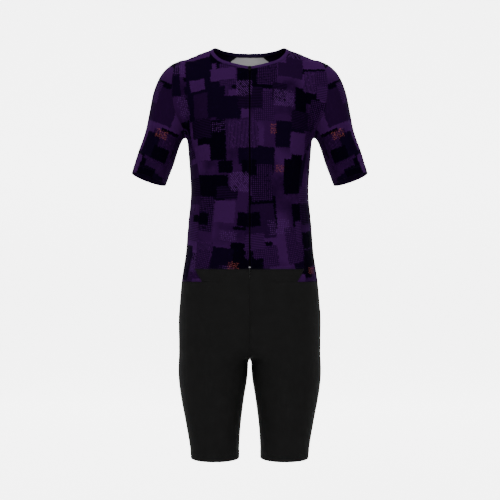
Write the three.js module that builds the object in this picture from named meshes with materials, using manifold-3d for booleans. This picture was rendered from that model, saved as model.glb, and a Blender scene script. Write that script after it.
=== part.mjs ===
// A short-sleeved triathlon suit with a full front zip, standing hollow as it is worn.
// Millimetres, +Z up, the front faces -Y. The origin lies between the two points
// where the shoulder line meets the neck. Left and right are the wearer's: left is +X.
//
// The worn form is one smooth surface, given by level tables. The seams are curves on it,
// and each panel is a thin wall between its seams.

import * as THREE from 'three';
import * as BufferGeometryUtils from 'three/addons/utils/BufferGeometryUtils.js';
import Module from 'manifold-3d';

// Driving sizes
const CLOTH = 1.4;              // wall of the knitted panels
const SEAM_GAP = 0.3;           // between two sewn pieces
const BINDING_WIDTH = 8.5;
const BINDING_CLOTH = 2.2;
const BINDING_PROUD = 0.4;
const ZIP_WIDTH = 5.4;
const CHAIN_WIDTH = 2.4;
const ZIP_THICK = 1.2;
const CHAIN_PROUD = 0.6;
const TAPE_SUNK = 0.2;
const WAIST_FRONT = -518;       // height of the front waist seam
const WAIST_BACK = -547;        // height of the side and back waist seam
const CUFF_UP = 0;              // where the sleeve ends along its axis
const CUFF_TILT = 0.1;          // how much lower the cuff's edge runs behind, for each mm of depth
const LEG_HEM = -961;

// Steps of the panels' grids
const SIDE_ROWS = 16;           // side seam, above the front waist seam
const DIP_ROWS = 2;             // side seam, between the front and the back waist seam
const ARM_FRONT_STEPS = 14;     // armhole, underarm to yoke over the front and the top
const ARM_BACK_STEPS = 7;       // armhole, yoke to underarm over the back
const UNDERARM_STEPS = 4;       // armhole, the stretch under the arm
const NECK_FRONT_STEPS = 8;     // neck edge, zip to yoke
const NECK_BACK_STEPS = 2;      // neck edge, yoke to centre back
const WAIST_STEPS = 7;          // front waist seam, zip to side seam
const YOKE_STEPS = WAIST_STEPS; // slanted seam behind the shoulder, neck to armhole
const BLADE_STEPS = NECK_BACK_STEPS + YOKE_STEPS;
const BACK_STEPS = BLADE_STEPS + UNDERARM_STEPS;
const SLEEVE_ROWS = 11;
const RISE_ROWS = 11;           // leg rows from the waist to the crotch
const INSEAM_ROWS = 9;          // leg rows from the crotch to the hem
const RAYS = 72;                // rays of one fan round a section
const CROTCH_TILT = 24;         // how much lower a leg row runs outside than at the crotch

// Trunk and neck: a row for each height, with the half width, the depth in front of and
// behind the middle, and how square the oval is
const TRUNK_LEVELS = [
  { z: -740, half: 148, front: 80, back: 98, power: 2.2 },
  { z: -700, half: 157.5, front: 90, back: 112, power: 2.25 },
  { z: -650, half: 164.5, front: 99, back: 122, power: 2.3 },
  { z: -600, half: 164, front: 103, back: 122, power: 2.3 },
  { z: -540, half: 158.5, front: 103, back: 110, power: 2.3 },
  { z: -480, half: 149.5, front: 103, back: 97, power: 2.3 },
  { z: -410, half: 144, front: 103, back: 86, power: 2.3 },
  { z: -345, half: 138, front: 103, back: 84, power: 2.3 },
  { z: -285, half: 140.5, front: 108, back: 92, power: 2.35 },
  { z: -230, half: 145, front: 111, back: 99, power: 2.4 },
  { z: -180, half: 149, front: 107, back: 101, power: 2.4 },
  { z: -130, half: 151, front: 96, back: 97, power: 2.4 },
  { z: -90, half: 151, front: 82, back: 91, power: 2.4 },
  { z: -58, half: 150, front: 64, back: 84, power: 2.3 },
  { z: -36, half: 146, front: 51, back: 77, power: 2.2 },
  { z: -18, half: 125, front: 43, back: 71, power: 2.1 },
  { z: -5, half: 91, front: 40, back: 66, power: 2.0 },
  { z: 8, half: 70, front: 39, back: 61, power: 2.0 },
  { z: 30, half: 62, front: 40, back: 56, power: 2.0 },
  { z: 60, half: 60, front: 42, back: 54, power: 2.0 },
];

// One leg: a row for each height, with the middle of the oval and its half sizes
const LEG_LEVELS = [
  { z: -980, centre: 80.6, middle: -4, half: 55.4, deep: 60 },
  { z: -935, centre: 82.5, middle: -3, half: 57.6, deep: 64 },
  { z: -880, centre: 85.4, middle: 0, half: 64.4, deep: 72 },
  { z: -822, centre: 87.2, middle: 4, half: 73.7, deep: 81 },
  { z: -770, centre: 86.5, middle: 7, half: 81, deep: 90 },
  { z: -720, centre: 85, middle: 9, half: 81, deep: 97 },
  { z: -600, centre: 80, middle: 10, half: 70, deep: 98 },
];

// One sleeve: a row for each section up its axis from the cuff, with its half sizes
const SLEEVE_SECTIONS = [
  { up: -40, wide: 41.5, deep: 44 },
  { up: 0, wide: 42, deep: 46 },
  { up: 50, wide: 44, deep: 49 },
  { up: 100, wide: 43.5, deep: 53 },
  { up: 150, wide: 49.5, deep: 59 },
  { up: 200, wide: 55.5, deep: 64 },
  { up: 240, wide: 52, deep: 58 },
  { up: 268, wide: 39, deep: 43 },
  { up: 284, wide: 23, deep: 26 },
  { up: 292, wide: 7, deep: 9 },
];
const CUFF_CENTRE = new THREE.Vector3(236.5, -6, -309);
const SHOULDER_END = new THREE.Vector3(148, 2, -48);

const OVAL_POWER = 2.1;         // the squareness of a leg
const SHOULDER_BLEND = 23;      // how softly sleeve and trunk run together at the shoulder
const ARMPIT_BLEND = 18;        // the same under the arm
const ARMPIT_LOW = -205;        // below this height the one holds, above the next the other
const ARMPIT_HIGH = -130;
const LEG_BLEND = 22;
const CROTCH_BLEND = 6;
const SEAT_BLEND = 34;
const TRUNK_END = -722;
const LEG_TOP = -610;
const LEG_TOP_BLEND = 30;

// Seam key points of one half, x, y and z. Each is laid on the worn form before use.
const NECK_POINTS = [
  [0, -64, -52], [21, -62, -47], [44, -57, -40.5], [67, -45, -33], [81, -24, -20], [80, 0, -1],
  [62, 40, 1], [33, 61, 0], [0, 66, -1],
];
const NECK_YOKE_SHARE = 0.872;  // where the yoke seam meets the neck edge, as a share of it
const ARMHOLE_POINTS = [
  [158, -34, -190], [171, -56, -160], [177, -62, -126], [177, -52, -89], [170, -28, -54],
  [160, 2, -31], [166, 30, -50], [172, 50, -78], [173, 56, -104],
];
const ARMHOLE_BACK_POINTS = [
  [173, 56, -104], [173, 58, -130], [167, 50, -160], [158, 30, -187], [153, -2, -199],
  [158, -34, -190],
];
const BLADE_POINTS = [[128, 86, -178], [66, 100, -172], [0, 101, -170]];
const YOKE_POINTS = [[70, 70, -36], [115, 70, -66], [150, 64, -90]];
const SIDE_POINTS = [
  [125, -68, WAIST_FRONT], [117, -66, -430], [113, -66, -345], [120, -64, -270],
  [140, -48, -218],
];
const DIP_END = [109, -82, WAIST_BACK];

// Colours
const COLOURS = {
  print: 0x2a1440,
  shorts: 0x17171a,
  binding: 0x3b1f57,
  zip: 0x0d0b12,
  slider: 0x111114,
  stop: 0xb9bcc4,
};

// Values of a table at one place, on a smooth curve through its rows
function tableAt(rows, key, at) {
  let i = 0;
  while (i < rows.length - 2 && at > rows[i + 1][key]) i += 1;
  const low = rows[i];
  const high = rows[i + 1];
  const before = rows[Math.max(0, i - 1)];
  const after = rows[Math.min(rows.length - 1, i + 2)];
  const span = high[key] - low[key];
  const t = THREE.MathUtils.clamp((at - low[key]) / span, 0, 1);
  const rise = t * t * (3 - 2 * t);
  const leave = t * (1 - t) * (1 - t);
  const arrive = t * t * (t - 1);
  const values = {};
  for (const name of Object.keys(low)) {
    const slopeLow = (high[name] - before[name]) / (high[key] - before[key]);
    const slopeHigh = (after[name] - low[name]) / (after[key] - low[key]);
    values[name] = THREE.MathUtils.lerp(low[name], high[name], rise)
      + (leave * slopeLow + arrive * slopeHigh) * span;
  }
  return values;
}

// Radial gap from a point to an oval, negative inside
function ovalGap(across, deep, half, front, back, power) {
  const depth = deep < 0 ? front : back;
  const sum = Math.pow(Math.abs(across) / half, power) + Math.pow(Math.abs(deep) / depth, power);
  const radius = Math.hypot(across, deep);
  return radius - radius / Math.max(Math.pow(sum, 1 / power), 1e-6);
}

// A radial gap divided by the steepness of the section table there
function levelledGap(gapAt, at) {
  const rise = (gapAt(at + 1) - gapAt(at - 1)) / 2;
  return gapAt(at) / Math.hypot(1, rise);
}

function smoothMin(a, b, blend) {
  const near = Math.max(blend - Math.abs(a - b), 0) / blend;
  return Math.min(a, b) - near * near * blend / 4;
}

function smoothMax(a, b, blend) {
  return -smoothMin(-a, -b, blend);
}

function trunkGap(x, y, z) {
  const gapAt = (level) => {
    const s = tableAt(TRUNK_LEVELS, 'z', level);
    return ovalGap(x, y, s.half, s.front, s.back, s.power);
  };
  return smoothMax(levelledGap(gapAt, z), TRUNK_END - z, SEAT_BLEND);
}

function legGap(x, y, z) {
  const gapAt = (level) => {
    const s = tableAt(LEG_LEVELS, 'z', level);
    return ovalGap(x - s.centre, y - s.middle, s.half, s.deep, s.deep, OVAL_POWER);
  };
  return smoothMax(levelledGap(gapAt, z), z - LEG_TOP, LEG_TOP_BLEND);
}

const SLEEVE_UP = SHOULDER_END.clone().sub(CUFF_CENTRE).normalize();
const SLEEVE_WIDE = new THREE.Vector3(0, 1, 0).cross(SLEEVE_UP).normalize();
const SLEEVE_DEEP = SLEEVE_UP.clone().cross(SLEEVE_WIDE);
const SLEEVE_END = SLEEVE_SECTIONS.at(-1).up;

function sleeveGap(x, y, z) {
  const from = new THREE.Vector3(x, y, z).sub(CUFF_CENTRE);
  const up = from.dot(SLEEVE_UP);
  const gapAt = (level) => {
    const s = tableAt(SLEEVE_SECTIONS, 'up', level);
    return ovalGap(from.dot(SLEEVE_WIDE), from.dot(SLEEVE_DEEP), s.wide, s.deep, s.deep, 2);
  };
  return levelledGap(gapAt, up) + Math.max(0, up - SLEEVE_END);
}

// The worn form: negative inside, zero on the cloth's outer face
function formGap(x, y, z) {
  const legs = smoothMin(legGap(x, y, z), legGap(-x, y, z), CROTCH_BLEND);
  const lower = smoothMin(trunkGap(x, y, z), legs, LEG_BLEND);
  const high = THREE.MathUtils.smoothstep(z, ARMPIT_LOW, ARMPIT_HIGH);
  const blend = THREE.MathUtils.lerp(ARMPIT_BLEND, SHOULDER_BLEND, high);
  return smoothMin(lower, sleeveGap(Math.abs(x), y, z), blend);
}

function formSlope(p) {
  const step = 0.5;
  return new THREE.Vector3(
    formGap(p.x + step, p.y, p.z) - formGap(p.x - step, p.y, p.z),
    formGap(p.x, p.y + step, p.z) - formGap(p.x, p.y - step, p.z),
    formGap(p.x, p.y, p.z + step) - formGap(p.x, p.y, p.z - step),
  ).divideScalar(2 * step);
}

// The nearest point of the form's face, found in a few steps down its slope
function layOn(point) {
  const p = point.clone();
  for (let step = 0; step < 8; step += 1) {
    const slope = formSlope(p);
    p.addScaledVector(slope, -formGap(p.x, p.y, p.z) / slope.lengthSq());
  }
  return p;
}

// Where a ray from inside first leaves the form
function rayHit(from, direction) {
  const stride = 10;
  const gapAt = (distance) => {
    const p = from.clone().addScaledVector(direction, distance);
    return formGap(p.x, p.y, p.z);
  };
  let far = stride;
  while (gapAt(far) < 0) far += stride;
  let near = far - stride;
  for (let step = 0; step < 20; step += 1) {
    const middle = (near + far) / 2;
    if (gapAt(middle) < 0) near = middle;
    else far = middle;
  }
  return from.clone().addScaledVector(direction, near);
}

const vector = ([x, y, z]) => new THREE.Vector3(x, y, z);

// A seam laid on the form through its key points, in equal steps
function seamThrough(points, steps) {
  const curve = new THREE.CatmullRomCurve3(points.map(layOn));
  return curve.getSpacedPoints(steps).map((p, i) => {
    if (i === 0 || i === steps) return p;
    return layOn(p);
  });
}

// A dense row of points cut again into equal steps
function equalSteps(points, steps) {
  const lengths = [0];
  for (let i = 1; i < points.length; i += 1) {
    lengths.push(lengths[i - 1] + points[i].distanceTo(points[i - 1]));
  }
  const cut = [];
  let i = 1;
  for (let k = 0; k <= steps; k += 1) {
    const at = lengths.at(-1) * k / steps;
    while (i < points.length - 1 && lengths[i] < at) i += 1;
    const share = (at - lengths[i - 1]) / (lengths[i] - lengths[i - 1]);
    cut.push(points[i - 1].clone().lerp(points[i], share));
  }
  return cut;
}

// Rows of a panel between its four edges, laid on the form. The edges' own points stay in it.
function panelGrid(bottom, right, top, left) {
  const columns = bottom.length - 1;
  const rows = left.length - 1;
  const grid = left.map(() => []);
  for (let j = 0; j <= rows; j += 1) {
    for (let i = 0; i <= columns; i += 1) {
      const u = i / columns;
      const v = j / rows;
      const guide = left[j].clone().multiplyScalar(1 - u).addScaledVector(right[j], u)
        .addScaledVector(bottom[i], 1 - v).addScaledVector(top[i], v)
        .addScaledVector(bottom[0], (u - 1) * (1 - v)).addScaledVector(bottom[columns], u * (v - 1))
        .addScaledVector(top[0], (u - 1) * v).addScaledVector(top[columns], -u * v);
      grid[j].push(guide);
    }
  }
  return grid.map((row, j) => row.map((guide, i) => {
    if (j === 0) return bottom[i];
    if (j === rows) return top[i];
    if (i === 0) return left[j];
    if (i === columns) return right[j];
    return layOn(guide);
  }));
}

// Twins of points on the other side of the middle plane; a shared point has one twin
function twinMaker() {
  const twins = new Map();
  return (p) => {
    if (!twins.has(p)) twins.set(p, new THREE.Vector3(-p.x, p.y, p.z));
    return twins.get(p);
  };
}

function mirrorGrids(grids) {
  const twin = twinMaker();
  return grids.map((grid) => grid.map((row) => row.map(twin).reverse()));
}

// Grids whose rows end at the middle plane, continued to the other side
function mirroredRows(grids) {
  const twin = twinMaker();
  return grids.map((grid) => grid.map((row) => [...row, ...row.slice(0, -1).reverse().map(twin)]));
}

// Half a seam gap inward from each edge of a cloth, as a shift for each edge point
function seamShifts(points, normals, quads) {
  const sides = new Set();
  const edgesOf = ([a, b, c, d]) => [[a, b], [b, c], [c, d], [d, a]];
  for (const quad of quads) for (const [a, b] of edgesOf(quad)) sides.add(`${a} ${b}`);
  const rim = quads.flatMap(edgesOf).filter(([a, b]) => !sides.has(`${b} ${a}`));
  const inward = new Map(points.map((p, i) => [i, []]));
  for (const [a, b] of rim) {
    for (const i of [a, b]) {
      const along = points[b].clone().sub(points[a]);
      inward.get(i).push(normals[i].clone().cross(along).normalize());
    }
  }
  const shifts = points.map((p, i) => {
    if (inward.get(i).length === 0) return new THREE.Vector3();
    const [one, two] = inward.get(i);
    return one.clone().add(two).multiplyScalar(SEAM_GAP / 2 / (1 + one.dot(two)));
  });
  return { rim, shifts };
}

// A closed wall of cloth from grids of points that share their common ones. Rows and columns
// run so that a row's direction times the next row's direction points outward. The outer face
// stands `proud` of the form and the inner face lies `thick` inside it.
function wallGeometry(grids, { thick = CLOTH, proud = () => 0 } = {}) {
  const points = [...new Set(grids.flat(2))];
  const index = new Map(points.map((p, i) => [p, i]));
  const quads = [];
  for (const grid of grids) {
    for (let j = 0; j < grid.length - 1; j += 1) {
      for (let i = 0; i < grid[0].length - 1; i += 1) {
        const corners = [grid[j][i], grid[j][i + 1], grid[j + 1][i + 1], grid[j + 1][i]];
        quads.push(corners.map((p) => index.get(p)));
      }
    }
  }
  const normals = points.map((p) => formSlope(p).normalize());
  const { rim, shifts } = seamShifts(points, normals, quads);
  const seated = points.map((p, i) => p.clone().add(shifts[i]));
  const outer = seated.map((p, i) => p.clone().addScaledVector(normals[i], proud(points[i])));
  const inner = seated.map((p, i) => p.clone().addScaledVector(normals[i], -thick));
  const below = points.length;
  const faces = [];
  const quad = (a, b, c, d) => faces.push(a, b, c, a, c, d);
  for (const [a, b, c, d] of quads) {
    quad(a, b, c, d);
    faces.push(below + a, below + c, below + b, below + a, below + d, below + c);
  }
  for (const [a, b] of rim) quad(b, a, below + a, below + b);
  const numbers = [...outer, ...inner].flatMap((p) => [p.x, p.y, p.z]);
  const geometry = new THREE.BufferGeometry();
  geometry.setAttribute('position', new THREE.Float32BufferAttribute(numbers, 3));
  geometry.setIndex(faces);
  return geometry;
}

const suit = new THREE.Group();

function addMesh(name, geometry, colour, roughness = 0.75, metalness = 0) {
  const material = new THREE.MeshStandardMaterial({ color: colour, roughness, metalness });
  material.name = name;
  const mesh = new THREE.Mesh(geometry, material);
  mesh.name = name;
  suit.add(mesh);
  return mesh;
}

// Seams shared by their neighbours

// The neck edge and, below it, the edge where the panels meet the binding
const neckCurve = new THREE.CatmullRomCurve3(NECK_POINTS.map((p) => layOn(vector(p))));

function neckEdge(from, to, steps, down) {
  const points = [];
  for (let k = 0; k <= steps; k += 1) {
    const share = THREE.MathUtils.lerp(from, to, k / steps);
    const p = layOn(neckCurve.getPointAt(share));
    const along = neckCurve.getTangentAt(share);
    const outward = along.clone().cross(formSlope(p).normalize());
    if (outward.z > 0) outward.negate();
    points.push(down === 0 ? p : layOn(p.addScaledVector(outward, down)));
  }
  return points;
}

const neckStart = 0.001;
const zipEdge = ZIP_WIDTH / 2;
const neckFront = neckEdge(neckStart, NECK_YOKE_SHARE, NECK_FRONT_STEPS, BINDING_WIDTH);
const neckBack = neckEdge(NECK_YOKE_SHARE, 1, NECK_BACK_STEPS, BINDING_WIDTH);
neckFront[0].x = zipEdge;
neckBack.at(-1).x = 0;

const armFront = seamThrough(ARMHOLE_POINTS.map(vector), ARM_FRONT_STEPS);
const armRest = seamThrough(ARMHOLE_BACK_POINTS.map(vector), ARM_BACK_STEPS + UNDERARM_STEPS);
armRest[0] = armFront.at(-1);
armRest[ARM_BACK_STEPS + UNDERARM_STEPS] = armFront[0];
const armBack = armRest.slice(0, ARM_BACK_STEPS + 1);
const underarm = armRest.slice(ARM_BACK_STEPS);

const yoke = seamThrough([neckFront.at(-1), ...YOKE_POINTS.map(vector), armFront.at(-1)], YOKE_STEPS);
const sideSeam = seamThrough([...SIDE_POINTS.map(vector), armFront[0]], SIDE_ROWS);
const dip = seamThrough([vector(DIP_END), sideSeam[0]], DIP_ROWS);

// A level seam round the trunk between two of its points
function levelSeam(from, to, steps) {
  const level = new THREE.Vector3(0, 0, from.z);
  const start = Math.atan2(from.y, from.x);
  let end = Math.atan2(to.y, to.x);
  if (end < start) end += 2 * Math.PI;
  const dense = [];
  for (let k = 0; k <= RAYS; k += 1) {
    const angle = THREE.MathUtils.lerp(start, end, k / RAYS);
    dense.push(rayHit(level, new THREE.Vector3(Math.cos(angle), Math.sin(angle), 0)));
  }
  dense[0] = from.clone();
  dense[RAYS] = to.clone();
  return equalSteps(dense, steps);
}

const waistCentre = rayHit(new THREE.Vector3(zipEdge, 0, WAIST_FRONT), new THREE.Vector3(0, -1, 0));
const waistBackCentre = rayHit(new THREE.Vector3(0, 0, WAIST_BACK), new THREE.Vector3(0, 1, 0));
const waistFront = levelSeam(waistCentre, sideSeam[0], WAIST_STEPS);
const waistBack = levelSeam(dip[0], waistBackCentre, BACK_STEPS);

// Front panels: zip edge and neck on one side, side seam and armhole on the other
function buildFronts() {
  const zipRows = SIDE_ROWS + ARM_FRONT_STEPS - NECK_FRONT_STEPS;
  const edge = [];
  for (let k = 0; k <= RAYS; k += 1) {
    const z = THREE.MathUtils.lerp(WAIST_FRONT, neckFront[0].z, k / RAYS);
    edge.push(rayHit(new THREE.Vector3(zipEdge, 0, z), new THREE.Vector3(0, -1, 0)));
  }
  edge[0] = waistFront[0];
  edge[RAYS] = neckFront[0];
  const left = [...equalSteps(edge, zipRows), ...neckFront.slice(1)];
  const right = [...sideSeam, ...armFront.slice(1)];
  const panel = [panelGrid(waistFront, right, yoke, left)];
  addMesh('front_left', wallGeometry(panel), COLOURS.print);
  addMesh('front_right', wallGeometry(mirrorGrids(panel)), COLOURS.print);
}

// Back panel, round both sides to the front side seams, in one piece. Its lower part ends
// under the arms, and its upper part runs on between the armholes to the yoke and the neck.
function buildBack() {
  const blade = seamThrough([underarm[0], ...BLADE_POINTS.map(vector)], BLADE_STEPS);
  blade[0] = underarm[0];
  blade[BLADE_STEPS].x = 0;
  const spine = (from, to, steps) => {
    const dense = [];
    for (let k = 0; k <= RAYS; k += 1) {
      const z = THREE.MathUtils.lerp(from.z, to.z, k / RAYS);
      dense.push(rayHit(new THREE.Vector3(0, 0, z), new THREE.Vector3(0, 1, 0)));
    }
    const cut = equalSteps(dense, steps);
    cut[0] = from;
    cut[steps] = to;
    return cut;
  };
  const side = [...dip, ...sideSeam.slice(1)];
  const lowerTop = [...[...underarm].reverse(), ...blade.slice(1)];
  const lower = panelGrid(waistBack, spine(waistBack.at(-1), blade.at(-1), side.length - 1), lowerTop, side);
  const upperTop = [...[...yoke].reverse(), ...neckBack.slice(1)];
  const upperSpine = spine(blade.at(-1), neckBack.at(-1), ARM_BACK_STEPS);
  const upper = panelGrid(blade, upperSpine, upperTop, [...armBack].reverse());
  addMesh('back', wallGeometry(mirroredRows([lower, upper])), COLOURS.print);
}

// Sleeves: a ring of cloth from the armhole to the cuff
function buildSleeves() {
  const hole = [...armFront, ...armRest.slice(1, -1)];
  const cuff = CUFF_CENTRE.clone().addScaledVector(SLEEVE_UP, CUFF_UP);
  const rows = [];
  for (let j = 0; j <= SLEEVE_ROWS; j += 1) rows.push([]);
  for (const p of hole) {
    const from = p.clone().sub(CUFF_CENTRE);
    const angle = Math.atan2(from.dot(SLEEVE_DEEP), from.dot(SLEEVE_WIDE));
    const out = SLEEVE_WIDE.clone().multiplyScalar(Math.cos(angle)).addScaledVector(SLEEVE_DEEP, Math.sin(angle));
    out.addScaledVector(SLEEVE_UP, -CUFF_TILT * Math.sin(angle));
    const end = rayHit(cuff, out);
    for (let j = 0; j <= SLEEVE_ROWS; j += 1) {
      const guide = end.clone().lerp(p, j / SLEEVE_ROWS);
      rows[j].push(j === 0 || j === SLEEVE_ROWS ? guide : layOn(guide));
    }
  }
  const tube = [rows.map((row) => [...row, row[0]])];
  addMesh('sleeve_left', wallGeometry(tube), COLOURS.print);
  addMesh('sleeve_right', wallGeometry(mirrorGrids(tube)), COLOURS.print);
}

// Half of the seam through the crotch, in the middle plane, from the waist to the lowest point
function riseSeam(side, top) {
  const pivot = new THREE.Vector3(0, 8, -620);
  const start = Math.atan2(top.z - pivot.z, side * (top.y - pivot.y));
  const dense = [];
  for (let k = 0; k <= RAYS; k += 1) {
    const angle = THREE.MathUtils.lerp(start, -Math.PI / 2, k / RAYS);
    dense.push(rayHit(pivot, new THREE.Vector3(0, side * Math.cos(angle), Math.sin(angle))));
  }
  return equalSteps(dense, RISE_ROWS);
}

// One row of a leg, from its front end round the outside to its back end
function legRow(front, back, outerZ) {
  const steps = WAIST_STEPS + BACK_STEPS;
  const axis = tableAt(LEG_LEVELS, 'z', Math.min(outerZ, LEG_TOP));
  const start = Math.atan2(front.y - axis.middle, front.x - axis.centre);
  let end = Math.atan2(back.y - axis.middle, back.x - axis.centre);
  if (end <= 0) end += 2 * Math.PI;
  const dense = [];
  for (let k = 0; k <= RAYS; k += 1) {
    const share = k / RAYS;
    const angle = THREE.MathUtils.lerp(start > 0 ? start - 2 * Math.PI : start, end, share);
    const nearFront = Math.max(0, 1 - 2 * share) ** 2;
    const nearBack = Math.max(0, 2 * share - 1) ** 2;
    const z = outerZ + (front.z - outerZ) * nearFront + (back.z - outerZ) * nearBack;
    const hit = rayHit(new THREE.Vector3(axis.centre, axis.middle, z),
      new THREE.Vector3(Math.cos(angle), Math.sin(angle), 0));
    hit.x = Math.max(0, hit.x);
    dense.push(hit);
  }
  dense[0] = front.clone();
  dense[RAYS] = back.clone();
  return equalSteps(dense, steps);
}

// Shorts: one piece of cloth wraps each leg, with a seam through the crotch and one inside the leg.
// In front it rises between the lower ends of the back panel to the front waist seam.
function buildLegs() {
  const middleAt = (z) => rayHit(new THREE.Vector3(0, 0, z), new THREE.Vector3(0, -1, 0));
  const frontRise = riseSeam(-1, middleAt(WAIST_BACK));
  const backRise = riseSeam(1, waistBackCentre);
  const waistLevel = levelSeam(frontRise[0], dip[0], WAIST_STEPS);
  const crotchZ = frontRise.at(-1).z;
  const outerAtCrotch = crotchZ - CROTCH_TILT;
  const rows = [[...waistLevel, ...waistBack.slice(1)]];
  for (let k = 1; k <= RISE_ROWS; k += 1) {
    rows.push(legRow(frontRise[k], backRise[k], THREE.MathUtils.lerp(WAIST_BACK, outerAtCrotch, k / RISE_ROWS)));
  }
  for (let k = 1; k <= INSEAM_ROWS; k += 1) {
    const share = k / INSEAM_ROWS;
    const z = THREE.MathUtils.lerp(crotchZ, LEG_HEM, share);
    const axis = tableAt(LEG_LEVELS, 'z', z);
    const inner = rayHit(new THREE.Vector3(axis.centre, axis.middle, z), new THREE.Vector3(-1, 0, 0));
    rows.push(legRow(inner, inner, THREE.MathUtils.lerp(outerAtCrotch, LEG_HEM, share)));
  }
  const yokeTop = [middleAt(WAIST_FRONT), ...waistFront.slice(1)];
  const middleEdge = dip.map((p) => middleAt(p.z));
  middleEdge[0] = waistLevel[0];
  middleEdge[DIP_ROWS] = yokeTop[0];
  const rising = panelGrid(waistLevel, dip, yokeTop, middleEdge);
  const cloth = [rows.reverse(), rising];
  addMesh('leg_left', wallGeometry(cloth), COLOURS.shorts);
  addMesh('leg_right', wallGeometry(mirrorGrids(cloth)), COLOURS.shorts);
}

// Neck binding: a narrow folded strip from one zip edge round the back to the other
function buildBinding() {
  const widths = [BINDING_WIDTH - SEAM_GAP, BINDING_WIDTH / 2, 0];
  const half = widths.map((down) => [
    ...neckEdge(neckStart, NECK_YOKE_SHARE, NECK_FRONT_STEPS, down),
    ...neckEdge(NECK_YOKE_SHARE, 1, NECK_BACK_STEPS, down).slice(1),
  ]);
  half.forEach((row) => {
    row[0].x = zipEdge;
    row.at(-1).x = 0;
  });
  const thick = BINDING_CLOTH - BINDING_PROUD;
  const geometry = wallGeometry(mirroredRows([half]), { thick, proud: () => BINDING_PROUD });
  addMesh('neck_binding', geometry, COLOURS.binding);
}

// A point on the zip's line, at the middle of the front
function zipPoint(z) {
  return rayHit(new THREE.Vector3(0, 0, z), new THREE.Vector3(0, -1, 0));
}

const ZIP_TOP = neckCurve.getPointAt(0).z - 0.5;
const ZIP_ROWS = 24;

// Closed zip: the tape with the chain standing proud along its middle
function buildZip() {
  const across = [-ZIP_WIDTH / 2, -CHAIN_WIDTH / 2, CHAIN_WIDTH / 2, ZIP_WIDTH / 2];
  const grid = [];
  for (let k = 0; k <= ZIP_ROWS; k += 1) {
    const middle = zipPoint(THREE.MathUtils.lerp(WAIST_FRONT + SEAM_GAP, ZIP_TOP, k / ZIP_ROWS));
    grid.push(across.map((x) => middle.clone().setX(x)));
  }
  const proud = (p) => (Math.abs(p.x) < ZIP_WIDTH / 2 ? CHAIN_PROUD : -TAPE_SUNK);
  addMesh('zip', wallGeometry([grid], { thick: ZIP_THICK, proud }), COLOURS.zip, 0.6);
}

const manifold = await Module();
manifold.setup();

function toSolid(geometry) {
  const bare = geometry.clone();
  bare.deleteAttribute('normal');
  bare.deleteAttribute('uv');
  const merged = BufferGeometryUtils.mergeVertices(bare, 1e-4);
  return new manifold.Manifold(new manifold.Mesh({
    numProp: 3,
    vertProperties: new Float32Array(merged.attributes.position.array),
    triVerts: new Uint32Array(merged.index.array),
  }));
}

function toGeometry(solid) {
  const mesh = solid.getMesh();
  const geometry = new THREE.BufferGeometry();
  geometry.setAttribute('position', new THREE.BufferAttribute(new Float32Array(mesh.vertProperties), 3));
  geometry.setIndex([...mesh.triVerts]);
  return geometry;
}

// A flat outline with cut corners, centred on x, from one height to another
function plateOutline(width, low, high, corner) {
  const half = width / 2;
  return new THREE.Shape([
    [-half + corner, low], [half - corner, low], [half, low + corner], [half, high - corner],
    [half - corner, high], [-half + corner, high], [-half, high - corner], [-half, low + corner],
  ].map(([x, y]) => new THREE.Vector2(x, y)));
}

// The slider and its pull share a local frame: x across, y up along the zip, z out of the cloth
const SLIDER = { width: 7.4, length: 8.4, thick: 2.4, corner: 1.4, lift: 0.3 };
const BRIDGE = { width: 1.8, wall: 1.0, gapLong: 2.2, gapHigh: 1.9, sink: 0.4 };
const PULL = { width: 5.2, thick: 1.1, length: 9.6, bar: 1.1, window: 4.3, windowWidth: 2.8, corner: 1.2 };
const SLIDER_MIDDLE = ZIP_TOP - 4.6;

function hardwareFrame(z) {
  const at = zipPoint(z);
  const out = formSlope(at).setX(0).normalize();
  const across = new THREE.Vector3(1, 0, 0);
  const up = out.clone().cross(across);
  const frame = new THREE.Matrix4().makeBasis(across, up, out);
  frame.setPosition(at.addScaledVector(out, CHAIN_PROUD + SLIDER.lift));
  return frame;
}

const hingeHeight = SLIDER.thick + BRIDGE.gapHigh / 2;

function buildSlider(frame) {
  const base = new THREE.ExtrudeGeometry(
    plateOutline(SLIDER.width, -SLIDER.length / 2, SLIDER.length / 2, SLIDER.corner),
    { depth: SLIDER.thick, bevelEnabled: false },
  );
  const reach = BRIDGE.gapLong / 2 + BRIDGE.wall;
  const inner = BRIDGE.gapLong / 2;
  const top = BRIDGE.gapHigh + BRIDGE.wall;
  const arch = new THREE.Shape([
    [-reach, -BRIDGE.sink], [-inner, -BRIDGE.sink], [-inner, BRIDGE.gapHigh], [inner, BRIDGE.gapHigh],
    [inner, -BRIDGE.sink], [reach, -BRIDGE.sink], [reach, top - BRIDGE.wall / 2],
    [reach - BRIDGE.wall / 2, top], [BRIDGE.wall / 2 - reach, top], [-reach, top - BRIDGE.wall / 2],
  ].map(([along, high]) => new THREE.Vector2(along, high)));
  const bridge = new THREE.ExtrudeGeometry(arch, { depth: BRIDGE.width, bevelEnabled: false });
  const upright = new THREE.Matrix4().makeBasis(
    new THREE.Vector3(0, 1, 0), new THREE.Vector3(0, 0, 1), new THREE.Vector3(1, 0, 0),
  );
  bridge.applyMatrix4(upright.setPosition(-BRIDGE.width / 2, 0, SLIDER.thick));
  const geometry = toGeometry(toSolid(base).add(toSolid(bridge)));
  addMesh('zip_slider', geometry, COLOURS.slider, 0.4, 0.6).applyMatrix4(frame);
}

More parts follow.
